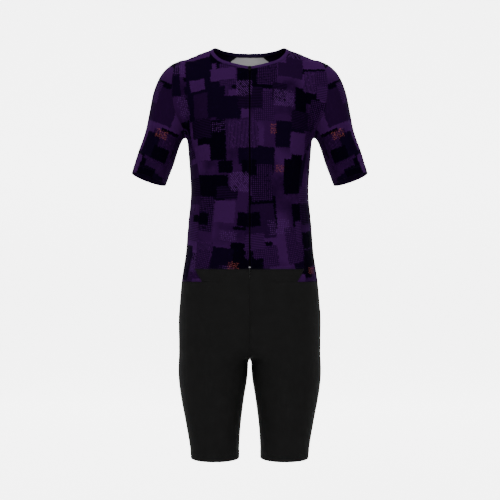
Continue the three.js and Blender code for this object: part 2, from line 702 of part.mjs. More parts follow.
// The pull hangs from the bridge by its top bar
function buildPull(frame) {
  const outline = plateOutline(PULL.width, -PULL.length, PULL.bar / 2, PULL.corner);
  const half = PULL.windowWidth / 2;
  const window = [
    [-half, -PULL.bar / 2], [-half, -PULL.bar / 2 - PULL.window],
    [half, -PULL.bar / 2 - PULL.window], [half, -PULL.bar / 2],
  ];
  outline.holes.push(new THREE.Path(window.map(([x, y]) => new THREE.Vector2(x, y))));
  const geometry = new THREE.ExtrudeGeometry(outline, { depth: PULL.thick, bevelEnabled: false });
  geometry.translate(0, 0, hingeHeight - PULL.thick / 2);
  addMesh('zip_pull', geometry, COLOURS.slider, 0.4, 0.6).applyMatrix4(frame);
}

// The stop clamped over the last teeth
function buildStop() {
  const stop = { width: 4.6, length: 3.2, thick: 1.1, corner: 0.8, above: 4.5 };
  const outline = plateOutline(stop.width, -stop.length / 2, stop.length / 2, stop.corner);
  const geometry = new THREE.ExtrudeGeometry(outline, { depth: stop.thick, bevelEnabled: false });
  addMesh('zip_stop', geometry, COLOURS.stop, 0.35, 0.8).applyMatrix4(hardwareFrame(WAIST_FRONT + stop.above));
}

buildFronts();
buildBack();
buildSleeves();
buildLegs();
buildBinding();
buildZip();
const sliderFrame = hardwareFrame(SLIDER_MIDDLE);
buildSlider(sliderFrame);
buildPull(sliderFrame);
buildStop();

export default suit;
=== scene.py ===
# Looks of the triathlon suit: thin cloth on the worn form, its seams and stitches, the zip and
# the materials. Shapes are worked out in millimetres, x, y and z as in the frame, and handed
# to Blender in metres. Left and right are the wearer's: left is +X, and the front faces -Y.
import math

import bpy
import numpy as np
from mathutils import Matrix, Vector
from mathutils.kdtree import KDTree


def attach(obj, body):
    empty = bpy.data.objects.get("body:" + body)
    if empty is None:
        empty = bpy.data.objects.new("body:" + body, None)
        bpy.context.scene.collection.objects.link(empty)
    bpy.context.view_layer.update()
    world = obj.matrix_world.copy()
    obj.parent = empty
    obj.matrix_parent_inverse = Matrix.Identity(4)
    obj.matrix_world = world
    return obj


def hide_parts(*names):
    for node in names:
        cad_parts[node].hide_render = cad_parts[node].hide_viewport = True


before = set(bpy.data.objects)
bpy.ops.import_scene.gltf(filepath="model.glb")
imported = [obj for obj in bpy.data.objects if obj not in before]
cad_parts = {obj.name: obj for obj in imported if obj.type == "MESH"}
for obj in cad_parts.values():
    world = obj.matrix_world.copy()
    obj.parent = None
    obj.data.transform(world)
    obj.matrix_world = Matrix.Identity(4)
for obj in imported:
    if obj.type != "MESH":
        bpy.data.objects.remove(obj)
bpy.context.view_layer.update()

MM = 0.001

# Camera: the photograph is taken level, from straight in front
camera_data = bpy.data.cameras.new("camera")
camera_data.sensor_width = 36
camera_data.lens = 76.6
camera = bpy.data.objects.new("camera", camera_data)
bpy.context.scene.collection.objects.link(camera)
camera.location = (0.0007, -2.5, -0.4747)
camera.rotation_euler = (math.radians(90), 0, 0)
bpy.context.scene.camera = camera

# The worn form

# Trunk and neck: height, half width, depth in front of and behind the middle, squareness
TRUNK_LEVELS = np.array([
    (-740, 148, 80, 98, 2.2), (-700, 157.5, 90, 112, 2.25), (-650, 164.5, 99, 122, 2.3),
    (-600, 164, 103, 122, 2.3), (-540, 158.5, 103, 110, 2.3), (-480, 149.5, 103, 97, 2.3),
    (-410, 144, 103, 86, 2.3), (-345, 138, 103, 84, 2.3), (-285, 140.5, 108, 92, 2.35),
    (-230, 145, 111, 99, 2.4), (-180, 149, 107, 101, 2.4), (-130, 151, 96, 97, 2.4),
    (-90, 151, 82, 91, 2.4), (-58, 150, 64, 84, 2.3), (-36, 146, 51, 77, 2.2),
    (-18, 125, 43, 71, 2.1), (-5, 91, 40, 66, 2.0), (8, 70, 39, 61, 2.0),
    (30, 62, 40, 56, 2.0), (60, 60, 42, 54, 2.0)])
# One leg: height, middle of the oval across and in depth, half width, half depth
LEG_LEVELS = np.array([
    (-980, 80.6, -4, 55.4, 60), (-935, 82.5, -3, 57.6, 64), (-880, 85.4, 0, 64.4, 72),
    (-822, 87.2, 4, 73.7, 81), (-770, 86.5, 7, 81, 90), (-720, 85, 9, 81, 97),
    (-600, 80, 10, 70, 98)])
# One sleeve: way up its axis from the cuff, half width, half depth
SLEEVE_SECTIONS = np.array([
    (-40, 41.5, 44), (0, 42, 46), (50, 44, 49), (100, 43.5, 53), (150, 49.5, 59),
    (200, 55.5, 64), (240, 52, 58), (268, 39, 43), (284, 23, 26), (292, 7, 9)])
CUFF_CENTRE = np.array((236.5, -6.0, -309.0))
SHOULDER_END = np.array((148.0, 2.0, -48.0))
OVAL_POWER, LEG_BLEND, CROTCH_BLEND = 2.1, 22, 6
# Sleeve and trunk run together more softly at the shoulder than under the arm
SHOULDER_BLEND, ARMPIT_BLEND, ARMPIT_LOW, ARMPIT_HIGH = 23, 18, -205, -130
SEAT_BLEND, TRUNK_END, LEG_TOP, LEG_TOP_BLEND = 34, -722, -610, 30


def unit(v):
    return v / np.linalg.norm(v, axis=-1, keepdims=True)


SLEEVE_UP = unit(SHOULDER_END - CUFF_CENTRE)
SLEEVE_WIDE = unit(np.cross((0, 1, 0), SLEEVE_UP))
SLEEVE_DEEP = np.cross(SLEEVE_UP, SLEEVE_WIDE)


def table_at(rows, at):
    """Columns of a table at each height, on a smooth curve through its rows"""
    keys = rows[:, 0]
    i = np.clip(np.searchsorted(keys, at, side="left") - 1, 0, len(rows) - 2)
    low, high = rows[i], rows[i + 1]
    before, after = rows[np.maximum(i - 1, 0)], rows[np.minimum(i + 2, len(rows) - 1)]
    span = high[:, :1] - low[:, :1]
    t = np.clip((at[:, None] - low[:, :1]) / span, 0, 1)
    slope_low = (high - before) / (high[:, :1] - before[:, :1])
    slope_high = (after - low) / (after[:, :1] - low[:, :1])
    bend = (t * (1 - t) ** 2 * slope_low + t * t * (t - 1) * slope_high) * span
    return (low + (high - low) * t * t * (3 - 2 * t) + bend).T


def oval_gap(across, deep, half, front, back, power):
    depth = np.where(deep < 0, front, back)
    across = np.maximum(np.abs(across), 1e-3)
    total = (across / half) ** power + (np.abs(deep) / depth) ** power
    radius = np.hypot(across, deep)
    return radius - radius / total ** (1 / power)


def levelled(gap_at, at):
    return gap_at(at) / np.hypot(1, (gap_at(at + 1) - gap_at(at - 1)) / 2)


def smooth_min(a, b, blend):
    near = np.maximum(blend - np.abs(a - b), 0) / blend
    return np.minimum(a, b) - near * near * blend / 4


def smooth_max(a, b, blend):
    return -smooth_min(-a, -b, blend)


def trunk_gap(p):
    def gap_at(level):
        _, half, front, back, power = table_at(TRUNK_LEVELS, level)
        return oval_gap(p[:, 0], p[:, 1], half, front, back, power)
    return smooth_max(levelled(gap_at, p[:, 2]), TRUNK_END - p[:, 2], SEAT_BLEND)


def leg_gap(x, p):
    def gap_at(level):
        _, centre, middle, half, deep = table_at(LEG_LEVELS, level)
        return oval_gap(x - centre, p[:, 1] - middle, half, deep, deep, OVAL_POWER)
    return smooth_max(levelled(gap_at, p[:, 2]), p[:, 2] - LEG_TOP, LEG_TOP_BLEND)


def sleeve_gap(p):
    away = np.column_stack((np.abs(p[:, 0]), p[:, 1], p[:, 2])) - CUFF_CENTRE
    up = away @ SLEEVE_UP

    def gap_at(level):
        _, wide, deep = table_at(SLEEVE_SECTIONS, level)
        return oval_gap(away @ SLEEVE_WIDE, away @ SLEEVE_DEEP, wide, deep, deep, 2)
    return levelled(gap_at, up) + np.maximum(0, up - SLEEVE_SECTIONS[-1, 0])


def form_gap(p):
    """How far each point lies outside the worn form; negative inside"""
    legs = smooth_min(leg_gap(p[:, 0], p), leg_gap(-p[:, 0], p), CROTCH_BLEND)
    lower = smooth_min(trunk_gap(p), legs, LEG_BLEND)
    high = np.clip((p[:, 2] - ARMPIT_LOW) / (ARMPIT_HIGH - ARMPIT_LOW), 0, 1)
    blend = ARMPIT_BLEND + (SHOULDER_BLEND - ARMPIT_BLEND) * high * high * (3 - 2 * high)
    return smooth_min(lower, sleeve_gap(p), blend)


def slope_of(p):
    steps = np.eye(3) * 0.5
    return np.column_stack([form_gap(p + d) - form_gap(p - d) for d in steps])


def lay_on(p, rounds=5):
    p = np.atleast_2d(np.array(p, float))
    for _ in range(rounds):
        slope = slope_of(p)
        p = p - slope * (form_gap(p) / (slope ** 2).sum(1))[:, None]
    return p


RAY_STEP = 3.0                  # less than the narrowest gap between the legs


def ray_hit(start, direction):
    """Where rays from inside first leave the form"""
    direction = np.broadcast_to(direction, start.shape)
    far = np.full(len(start), RAY_STEP)
    going = np.ones(len(start), bool)
    while going.any():
        going[going] = form_gap(start[going] + direction[going] * far[going, None]) < 0
        far[going] += RAY_STEP
    near = far - RAY_STEP
    for _ in range(14):
        middle = (near + far) / 2
        inside = form_gap(start + direction * middle[:, None]) < 0
        near, far = np.where(inside, middle, near), np.where(inside, far, middle)
    return start + direction * near[:, None]


# Seams

SEAM_GAP = 0.1
CLOTH = 1.1
BINDING_WIDTH = 8.5
ZIP_WIDTH = 5.4
ZIP_SHOWN = 3.0                 # width between the folded edges of the two fronts
WAIST_FRONT, WAIST_BACK, LEG_HEM = -518, -547, -961
CUFF_TILT = 0.1
CROTCH_TILT = 24
NECK_YOKE_SHARE = 0.872
# Panel steps, as the solids count them: a place on a panel is given in them
SIDE, DIP, ARM_FRONT, ARM_BACK, UNDERARM = 16, 2, 14, 7, 4
NECK_FRONT, WAIST, BLADE = 8, 7, 9
BACK, SLEEVE, RISE, INSEAM = BLADE + UNDERARM, 11, 11, 9

NECK_POINTS = [
    (0, -64, -52), (21, -62, -47), (44, -57, -40.5), (67, -45, -33), (81, -24, -20), (80, 0, -1),
    (62, 40, 1), (33, 61, 0), (0, 66, -1)]
ARMHOLE_POINTS = [
    (158, -34, -190), (171, -56, -160), (177, -62, -126), (177, -52, -89), (170, -28, -54),
    (160, 2, -31), (166, 30, -50), (172, 50, -78), (173, 56, -104)]
ARMHOLE_BACK_POINTS = [
    (173, 56, -104), (173, 58, -130), (167, 50, -160), (158, 30, -187), (153, -2, -199),
    (158, -34, -190)]
BLADE_POINTS = [(128, 86, -178), (66, 100, -172), (0, 101, -170)]
YOKE_POINTS = [(70, 70, -36), (115, 70, -66), (150, 64, -90)]
SIDE_POINTS = [
    (125, -68, WAIST_FRONT), (117, -66, -430), (113, -66, -345), (120, -64, -270),
    (140, -48, -218)]
DIP_END = (109, -82, WAIST_BACK)


def lengths_of(points):
    return np.concatenate(([0], np.cumsum(np.linalg.norm(np.diff(points, axis=0), axis=1))))


def at_shares(points, shares):
    """Points of a polyline at shares of its length"""
    lengths = lengths_of(points)
    at = np.clip(shares, 0, 1) * lengths[-1]
    return np.column_stack([np.interp(at, lengths, points[:, k]) for k in range(3)])


def curve_through(keys, per_span=60):
    """A centripetal curve through laid key points, as a dense polyline"""
    p = lay_on(keys, 8)
    p = np.vstack([2 * p[0] - p[1], p, 2 * p[-1] - p[-2]])
    dense = []
    for a, b, c, d in zip(p, p[1:], p[2:], p[3:]):
        ab, bc, cd = (max(np.linalg.norm(v) ** 0.5, 1e-4) for v in (b - a, c - b, d - c))
        leave = ((b - a) / ab - (c - a) / (ab + bc) + (c - b) / bc) * bc
        arrive = ((c - b) / bc - (d - b) / (bc + cd) + (d - c) / cd) * bc
        t = np.linspace(0, 1, per_span, endpoint=False)[:, None]
        dense.append(b + leave * t + (3 * (c - b) - 2 * leave - arrive) * t ** 2
                     + (2 * (b - c) + leave + arrive) * t ** 3)
    return np.vstack([*dense, p[-2:-1]])


def seam_through(keys):
    curve = curve_through(keys)
    return np.vstack([curve[:1], lay_on(curve[1:-1]), curve[-1:]])


neck_curve = curve_through(NECK_POINTS)


def neck_edge(low, high, down, count=120):
    """The neck edge between two shares of it, or a line that far below it"""
    shares = np.linspace(low, high, count)
    p = lay_on(at_shares(neck_curve, shares))
    along = unit(at_shares(neck_curve, shares + 0.002) - at_shares(neck_curve, shares - 0.002))
    outward = np.cross(along, unit(slope_of(p)))
    outward *= np.where(outward[:, 2:] > 0, -1, 1)
    return lay_on(p + outward * down) if down else p


zip_edge = ZIP_SHOWN / 2
neck_front = neck_edge(0.001, NECK_YOKE_SHARE, BINDING_WIDTH)
neck_back = neck_edge(NECK_YOKE_SHARE, 1, BINDING_WIDTH)
neck_front[0, 0] = zip_edge
neck_back[-1, 0] = 0
neck_back[0] = neck_front[-1]

arm_front = seam_through(ARMHOLE_POINTS)
arm_rest = seam_through(ARMHOLE_BACK_POINTS)
arm_rest[0], arm_rest[-1] = arm_front[-1], arm_front[0]
arm_split = ARM_BACK / (ARM_BACK + UNDERARM)
arm_back = at_shares(arm_rest, np.linspace(0, arm_split, 200))
underarm = at_shares(arm_rest, np.linspace(arm_split, 1, 120))
yoke = seam_through([neck_front[-1], *YOKE_POINTS, arm_front[-1]])
side_seam = seam_through([*SIDE_POINTS, arm_front[0]])
dip = seam_through([DIP_END, side_seam[0]])
blade = seam_through([underarm[0], *BLADE_POINTS])
blade[-1, 0] = 0


def level_seam(start, end, count=160):
    first = math.atan2(start[1], start[0])
    last = math.atan2(end[1], end[0])
    angles = np.linspace(first, last + (2 * math.pi if last < first else 0), count)
    rays = np.column_stack((np.cos(angles), np.sin(angles), np.zeros(count)))
    level = np.tile((0.0, 0.0, start[2]), (count, 1))
    return np.vstack([start, ray_hit(level, rays)[1:-1], end])


def straight_line(x, z, side):
    """Points on the front or the back at one x, for each height"""
    start = np.column_stack((np.full(len(z), float(x)), np.zeros(len(z)), z))
    return ray_hit(start, (0.0, float(side), 0.0))


waist_centre = straight_line(zip_edge, np.array([WAIST_FRONT]), -1)[0]
waist_back_centre = straight_line(0, np.array([WAIST_BACK]), 1)[0]
waist_front = level_seam(waist_centre, side_seam[0])
waist_back = level_seam(dip[0], waist_back_centre)
zip_line = straight_line(zip_edge, np.linspace(WAIST_FRONT, neck_front[0, 2], 200), -1)
zip_line[0], zip_line[-1] = waist_front[0], neck_front[0]
spine_low = straight_line(0, np.linspace(waist_back[-1, 2], blade[-1, 2], 160), 1)
spine_high = straight_line(0, np.linspace(blade[-1, 2], neck_back[-1, 2], 100), 1)

# Panels on the form

SPACING = 4.2
NEAR_SEAM = np.array([0.5, 1.2, 2.1, 3.3, 5.0])


def ticks(count, length, seams):
    """Places along a panel of `count` steps, even, and closer beside each seam"""
    step = length / count
    parts = max(1, math.ceil(step / SPACING))
    even = np.arange(count * parts + 1) / parts
    for seam in seams:
        even = even[np.abs(even - seam) * step > NEAR_SEAM[-1] + 1.5]
    beside = [seam + side * NEAR_SEAM / step for seam in seams for side in (-1, 1)]
    places = np.concatenate([even, *beside, [0, count], seams])
    return np.unique(np.round(places[(places >= 0) & (places <= count)], 6))


def along(parts, places):
    """Points at places along an edge made of (polyline, steps) parts, one after the other"""
    points = np.zeros((len(places), 3))
    start = 0
    for line, steps in parts:
        here = (places >= start) & (places <= start + steps)
        points[here] = at_shares(line, (places[here] - start) / steps)
        start += steps
    return points


def coons(bottom, right, top, left, columns, rows):
    """A panel's rows between four edges, laid on the form. Edges are lists of parts."""
    b, t = along(bottom, columns), along(top, columns)
    l, r = along(left, rows), along(right, rows)
    u = (columns / columns[-1])[None, :, None]
    v = (rows / rows[-1])[:, None, None]
    guide = (l[:, None] * (1 - u) + r[:, None] * u + b[None] * (1 - v) + t[None] * v
             - b[0] * (1 - u) * (1 - v) - b[-1] * u * (1 - v) - t[0] * (1 - u) * v - t[-1] * u * v)
    grid = lay_on(guide.reshape(-1, 3)).reshape(guide.shape)
    grid[0], grid[-1], grid[:, 0], grid[:, -1] = b, t, l, r
    return grid


def both_halves(grid):
    """A grid whose rows end at the middle plane, continued to the other side"""
    return np.concatenate([grid, grid[:, -2::-1] * (-1, 1, 1)], axis=1)


def other_side(grid):
    return grid[:, ::-1] * (-1, 1, 1)


def front_grids():
    rows = ticks(SIDE + ARM_FRONT, 480, [0, SIDE + ARM_FRONT])
    columns = ticks(WAIST, 122, [0, WAIST])
    left = [(zip_line, SIDE + ARM_FRONT - NECK_FRONT), (neck_front, NECK_FRONT)]
    right = [(side_seam, SIDE), (arm_front, ARM_FRONT)]
    return [coons([(waist_front, WAIST)], right, [(yoke, WAIST)], left, columns, rows)]


def back_grids():
    columns = ticks(BACK, 300, [0, UNDERARM])
    columns = columns[(columns >= UNDERARM) | (columns <= UNDERARM)]
    rows = ticks(DIP + SIDE, 340, [0, DIP + SIDE])
    top = [(underarm[::-1], UNDERARM), (blade, BLADE)]
    side = [(dip, DIP), (side_seam, SIDE)]
    lower = coons([(waist_back, BACK)], [(spine_low, DIP + SIDE)], top, side, columns, rows)
    upper_columns = columns[columns >= UNDERARM] - UNDERARM
    upper_rows = ticks(ARM_BACK, 165, [ARM_BACK])
    upper_top = [(yoke[::-1], WAIST), (neck_back, BLADE - WAIST)]
    upper = coons([(blade, BLADE)], [(spine_high, ARM_BACK)], upper_top,
                  [(arm_back[::-1], ARM_BACK)], upper_columns, upper_rows)
    return [both_halves(lower), both_halves(upper)]


def sleeve_grids():
    around = ARM_FRONT + ARM_BACK + UNDERARM
    columns = ticks(around, 400, [0, around])
    rows = ticks(SLEEVE, 200, [0, SLEEVE])
    hole = along([(arm_front, ARM_FRONT), (arm_rest, ARM_BACK + UNDERARM)], columns)
    away = hole - CUFF_CENTRE
    angle = np.arctan2(away @ SLEEVE_DEEP, away @ SLEEVE_WIDE)[:, None]
    out = (SLEEVE_WIDE * np.cos(angle) + SLEEVE_DEEP * np.sin(angle)
           - SLEEVE_UP * CUFF_TILT * np.sin(angle))
    cuff = ray_hit(np.tile(CUFF_CENTRE, (len(columns), 1)), out)
    share = (rows / SLEEVE)[:, None, None]
    grid = lay_on((cuff * (1 - share) + hole * share).reshape(-1, 3)).reshape(len(rows), -1, 3)
    grid[0], grid[-1] = cuff, hole
    return [grid]


def rise_seam(side, top):
    """Half of the seam through the crotch, in the middle plane, from the waist downwards"""
    pivot = np.array((0.0, 8.0, -620.0))
    start = math.atan2(top[2] - pivot[2], side * (top[1] - pivot[1]))
    angles = np.linspace(start, -math.pi / 2, 200)
    rays = np.column_stack((np.zeros(200), side * np.cos(angles), np.sin(angles)))
    return ray_hit(np.tile(pivot, (200, 1)), rays)


def leg_rows(fronts, backs, outer_z, columns):
    """Rows of a leg, each from its front end round the outside to its back end"""
    _, centre, middle, _, _ = table_at(LEG_LEVELS, np.minimum(outer_z, LEG_TOP))
    start = np.arctan2(fronts[:, 1] - middle, fronts[:, 0] - centre)
    end = np.arctan2(backs[:, 1] - middle, backs[:, 0] - centre)
    start = np.where(start > 0, start - 2 * math.pi, start)[:, None]
    end = np.where(end <= 0, end + 2 * math.pi, end)[:, None]
    share = np.linspace(0, 1, 145)[None]
    angle = start + (end - start) * share
    to_front = np.maximum(0, 1 - 2 * share) ** 2
    to_back = np.maximum(0, 2 * share - 1) ** 2
    level = outer_z[:, None]
    z = level + (fronts[:, 2:] - level) * to_front + (backs[:, 2:] - level) * to_back
    axis = np.stack([np.broadcast_to(centre[:, None], z.shape),
                     np.broadcast_to(middle[:, None], z.shape), z], axis=-1)
    rays = np.stack([np.cos(angle), np.sin(angle), np.zeros_like(angle)], axis=-1)
    dense = ray_hit(axis.reshape(-1, 3), rays.reshape(-1, 3)).reshape(axis.shape)
    past = dense[..., 0] < 0
    to_middle = centre[:, None] / np.maximum(1e-6, -rays[..., 0])
    dense[past] = lay_on((axis + rays * to_middle[..., None])[past])
    dense[past, 0] = 0
    dense[:, 0], dense[:, -1] = fronts, backs
    return np.array([at_shares(line, columns / columns[-1]) for line in dense])


middle_at = straight_line(0, np.array([WAIST_BACK]), -1)[0]
front_rise = rise_seam(-1, middle_at)
back_rise = rise_seam(1, waist_back_centre)
waist_level = level_seam(front_rise[0], dip[0])


def leg_grids():
    around = WAIST + BACK
    columns = ticks(around, 470, [0, WAIST, around])
    rise_places = ticks(RISE, 160, [0])[1:]
    seam_places = ticks(INSEAM, 260, [INSEAM])[1:]
    crotch_z = front_rise[-1, 2]
    outer_at_crotch = crotch_z - CROTCH_TILT
    top = along([(waist_level, WAIST), (waist_back, BACK)], columns)
    rise = rise_places / RISE
    upper = leg_rows(at_shares(front_rise, rise), at_shares(back_rise, rise),
                     WAIST_BACK + (outer_at_crotch - WAIST_BACK) * rise, columns)
    seam = seam_places / INSEAM
    z = crotch_z + (LEG_HEM - crotch_z) * seam
    _, centre, middle, _, _ = table_at(LEG_LEVELS, z)
    inner = ray_hit(np.column_stack((centre, middle, z)), (-1.0, 0.0, 0.0))
    lower = leg_rows(inner, inner, outer_at_crotch + (LEG_HEM - outer_at_crotch) * seam, columns)
    rows = np.concatenate([top[None], upper, lower])[::-1]
    front_columns = columns[columns <= WAIST]
    rise_rows = ticks(DIP, 30, [DIP])
    middle_edge = straight_line(0, np.linspace(dip[0, 2], dip[-1, 2], 40), -1)
    middle_edge[0] = waist_level[0]
    yoke_top = np.vstack([middle_edge[-1:], waist_front[1:]])
    rising = coons([(waist_level, WAIST)], [(dip, DIP)], [(yoke_top, WAIST)],
                   [(middle_edge, DIP)], front_columns, rise_rows)
    rising[0] = rows[-1][:len(front_columns)]
    return [rows, rising]


# Relief of the cloth

def mirrored(line):
    return line * (-1, 1, 1)


inseam_z = np.linspace(front_rise[-1, 2], LEG_HEM, 120)
_, inseam_centre, inseam_middle, _, _ = table_at(LEG_LEVELS, inseam_z)
inseam = ray_hit(np.column_stack((inseam_centre, inseam_middle, inseam_z)), (-1.0, 0.0, 0.0))
sleeve_cuts = sleeve_grids()
underarm_seam = sleeve_cuts[0][:, 0]

# Seams of the left half; those on the middle plane come once
SIDE_SEAMS = {
    "armhole": np.vstack([arm_front, arm_rest]),
    "side": np.vstack([dip, side_seam]),
    "yoke": yoke,
    "waist": np.vstack([waist_front[::-1], dip[::-1], waist_back]),
    "inseam": inseam,
    "underarm": underarm_seam,
}
MIDDLE_SEAMS = {"crotch": np.vstack([front_rise, back_rise[::-1]])}


def tree_of(lines):
    points = np.vstack([at_shares(line, np.linspace(0, 1, max(2, int(lengths_of(line)[-1])))) for line in lines])
    tree = KDTree(len(points))
    for k, p in enumerate(points):
        tree.insert(p, k)
    tree.balance()
    return tree


def distance_to(tree, points):
    return np.array([tree.find(p)[2] for p in points])


joined_tree = tree_of([line for seam in SIDE_SEAMS.values() for line in (seam, mirrored(seam))]
                      + list(MIDDLE_SEAMS.values()))

# Creases, listed on the wearer's left and right in turn: the points they run through,
# how wide and how deep each is. They are faint, since the cloth is taut.
CREASES = [
    # from the underarm over the chest and down the side
    ([(156, -44, -188), (132, -84, -182), (108, -103, -170)], 7, 1.5),
    ([(155, -40, -205), (136, -66, -222), (118, -84, -232)], 8, 1.2),
    ([(-157, -42, -186), (-136, -80, -176), (-116, -100, -158)], 7, 1.4),
    ([(-154, -40, -208), (-138, -62, -230), (-124, -76, -246)], 8, 1.3),
    # across the sleeve's inner bend
    ([(176, -52, -190), (196, -50, -196), (216, -42, -190)], 7, 1.3),
    ([(188, -46, -226), (206, -50, -236), (226, -46, -238)], 8, 1.0),
    ([(-174, -50, -194), (-194, -52, -204), (-212, -44, -202)], 7, 1.2),
    ([(-190, -46, -236), (-208, -50, -248), (-226, -44, -252)], 8, 1.0),
    # behind the arm
    ([(160, 36, -196), (138, 78, -196), (112, 96, -206)], 8, 1.5),
    ([(158, 30, -214), (140, 60, -236), (126, 76, -252)], 9, 1.1),
    ([(-160, 36, -192), (-140, 76, -188), (-114, 96, -196)], 8, 1.4),
    ([(-158, 30, -218), (-142, 58, -244), (-126, 76, -262)], 9, 1.1),
    ([(182, 44, -194), (204, 44, -204), (222, 36, -204)], 7, 1.1),
    ([(-182, 44, -200), (-204, 44, -212), (-224, 34, -214)], 7, 1.2),
    # the small of the back
    ([(96, 72, -392), (50, 84, -402), (6, 86, -400)], 11, 1.3),
    ([(-104, 68, -420), (-56, 84, -428), (-10, 88, -424)], 12, 1.2),
    ([(70, 80, -446), (20, 92, -452), (-34, 92, -450)], 12, 1.0),
    # sides of the waist
    ([(143, 6, -400), (128, -48, -412), (104, -78, -418)], 10, 0.9),
    ([(-143, 8, -418), (-128, -46, -428), (-102, -80, -432)], 10, 0.9),
    # from the crotch outwards, front and back
    ([(12, -86, -690), (42, -96, -668), (78, -98, -636)], 11, 0.7),
    ([(-13, -86, -692), (-46, -96, -674), (-84, -97, -648)], 11, 0.6),
    ([(24, -80, -716), (58, -90, -714), (96, -84, -702)], 11, 0.45),
    ([(-26, -80, -718), (-62, -89, -718), (-100, -82, -708)], 11, 0.4),
    ([(14, 100, -700), (48, 112, -686), (86, 110, -664)], 11, 1.0),
    ([(-16, 100, -702), (-50, 111, -690), (-90, 109, -672)], 11, 0.9),
    # the backs of the knees
    ([(50, 56, -872), (84, 70, -880), (118, 58, -876)], 9, 1.0),
    ([(-52, 56, -884), (-86, 68, -890), (-120, 56, -884)], 9, 1.0),
]
crease_lines = [(at_shares(lay_on(keys), np.linspace(0, 1, 24)), width, depth) for keys, width, depth in CREASES]


def waver(p, size, seed):
    """A soft uneven value from -1 to 1 over the cloth"""
    a, b, c = (p / size + seed).T
    return (np.sin(a * 1.7 + 1.3 * np.sin(c * 1.1)) + np.sin(b * 1.9 + c * 1.3)
            + np.sin(c * 2.3 - a * 0.7 + np.sin(b * 1.5))) / 3


def crease_relief(p):
    relief = 0.18 * waver(p, 34, 2.0)
    for line, width, depth in crease_lines:
        near = np.linalg.norm(p - line[12], axis=1) < 90
        if not near.any():
            continue
        q = p[near]
        gaps = np.linalg.norm(q[:, None] - line[None], axis=2)
        share = gaps.argmin(1) / 23
        d = gaps.min(1) / (width * (0.8 + 0.25 * waver(q, 18, 5.0)))
        fade = np.sin(np.pi * np.clip(share * 0.9 + 0.05, 0, 1)) * (0.85 + 0.3 * waver(q, 15, 8.0))
        relief[near] += depth * fade * (0.55 * np.exp(-((d - 1.6) / 0.9) ** 2) - np.exp(-d ** 2))
    return relief


def seam_relief(p, distance):
    """A sewn seam: a fine joint in a slightly raised band, with faint puckers beside it"""
    band = 0.3 * np.exp(-(distance / 3.2) ** 4)
    joint = -0.4 * np.exp(-(distance / 0.7) ** 2)
    pucker = 0.16 * waver(p, 3.1, 1.0) * np.exp(-(distance / 9) ** 2) * (distance > 2)
    return band + joint + pucker


HEM_WIDTH, HEM_RAISE = 17.0, 0.4


def hem_relief(p):
    """The turned-up hems of sleeves and legs, two layers thick"""
    away = np.column_stack((np.abs(p[:, 0]), p[:, 1], p[:, 2])) - CUFF_CENTRE
    from_cuff = away @ SLEEVE_UP + CUFF_TILT * (away @ SLEEVE_DEEP)
    from_edge = np.where(np.abs(p[:, 0]) > 170, from_cuff, p[:, 2] - LEG_HEM)
    return HEM_RAISE * np.clip((HEM_WIDTH - from_edge) / 1.5 + 0.5, 0, 1)


def cloth_relief(p):
    return crease_relief(p) + seam_relief(p, distance_to(joined_tree, p)) + hem_relief(p)


# Meshes

def new_object(name, points, faces, materials, face_material=None):
    mesh = bpy.data.meshes.new(name)
    mesh.from_pydata((np.asarray(points) * MM).tolist(), [], [list(map(int, f)) for f in faces])
    for material in materials:
        mesh.materials.append(material)
    if face_material is not None:
        mesh.polygons.foreach_set("material_index", np.asarray(face_material, np.int32))
    mesh.polygons.foreach_set("use_smooth", np.ones(len(mesh.polygons), bool))
    mesh.update()
    obj = bpy.data.objects.new(name, mesh)
    bpy.context.scene.collection.objects.link(obj)
    return obj


def set_uv(obj, uv):
    """Gives each corner its point's place on the flat cloth, in metres"""
    layer = obj.data.uv_layers.new(name="cloth")
    corners = np.zeros(len(obj.data.loops), np.int32)
    obj.data.loops.foreach_get("vertex_index", corners)
    layer.data.foreach_set("uv", (uv[corners] * MM).astype(np.float32).ravel())


def joined_points(grids):
    """Points of some grids, with those on the line where one grid ends and the next begins
    held once, and the quads between them"""
    points, quads, known = [], [], {}
    for number, grid in enumerate(grids):
        rows, columns = grid.shape[:2]
        ids = np.zeros((rows, columns), int)
        for j in range(rows):
            for i in range(columns):
                key = tuple(np.round(grid[j, i], 3)) if j in (0, rows - 1) else None
                if number and key in known:
                    ids[j, i] = known[key]
                    continue
                ids[j, i] = len(points)
                points.append(grid[j, i])
                if key is not None and number == 0:
                    known[key] = ids[j, i]
        quads.append(np.stack([ids[:-1, :-1], ids[:-1, 1:], ids[1:, 1:], ids[1:, :-1]], -1).reshape(-1, 4))
    return np.array(points), np.vstack(quads)


def rim_of(quads):
    """Directed edges that only one quad has"""
    edges = np.vstack([quads[:, [k, (k + 1) % 4]] for k in range(4)])
    known = {(a, b) for a, b in edges.tolist()}
    return np.array([(a, b) for a, b in edges.tolist() if (b, a) not in known])


def rim_shift(points, normals, rim):
    """Half a seam gap inward at each rim point"""
    inward = unit(np.cross(normals[rim], (points[rim[:, 1]] - points[rim[:, 0]])[:, None]))
    total = np.zeros_like(points)
    for k in (0, 1):
        np.add.at(total, rim[:, k], inward[:, k])
    length = np.linalg.norm(total, axis=1, keepdims=True)
    return np.where(length > 1e-6, total / np.maximum(length, 1e-6), 0) * SEAM_GAP / 2


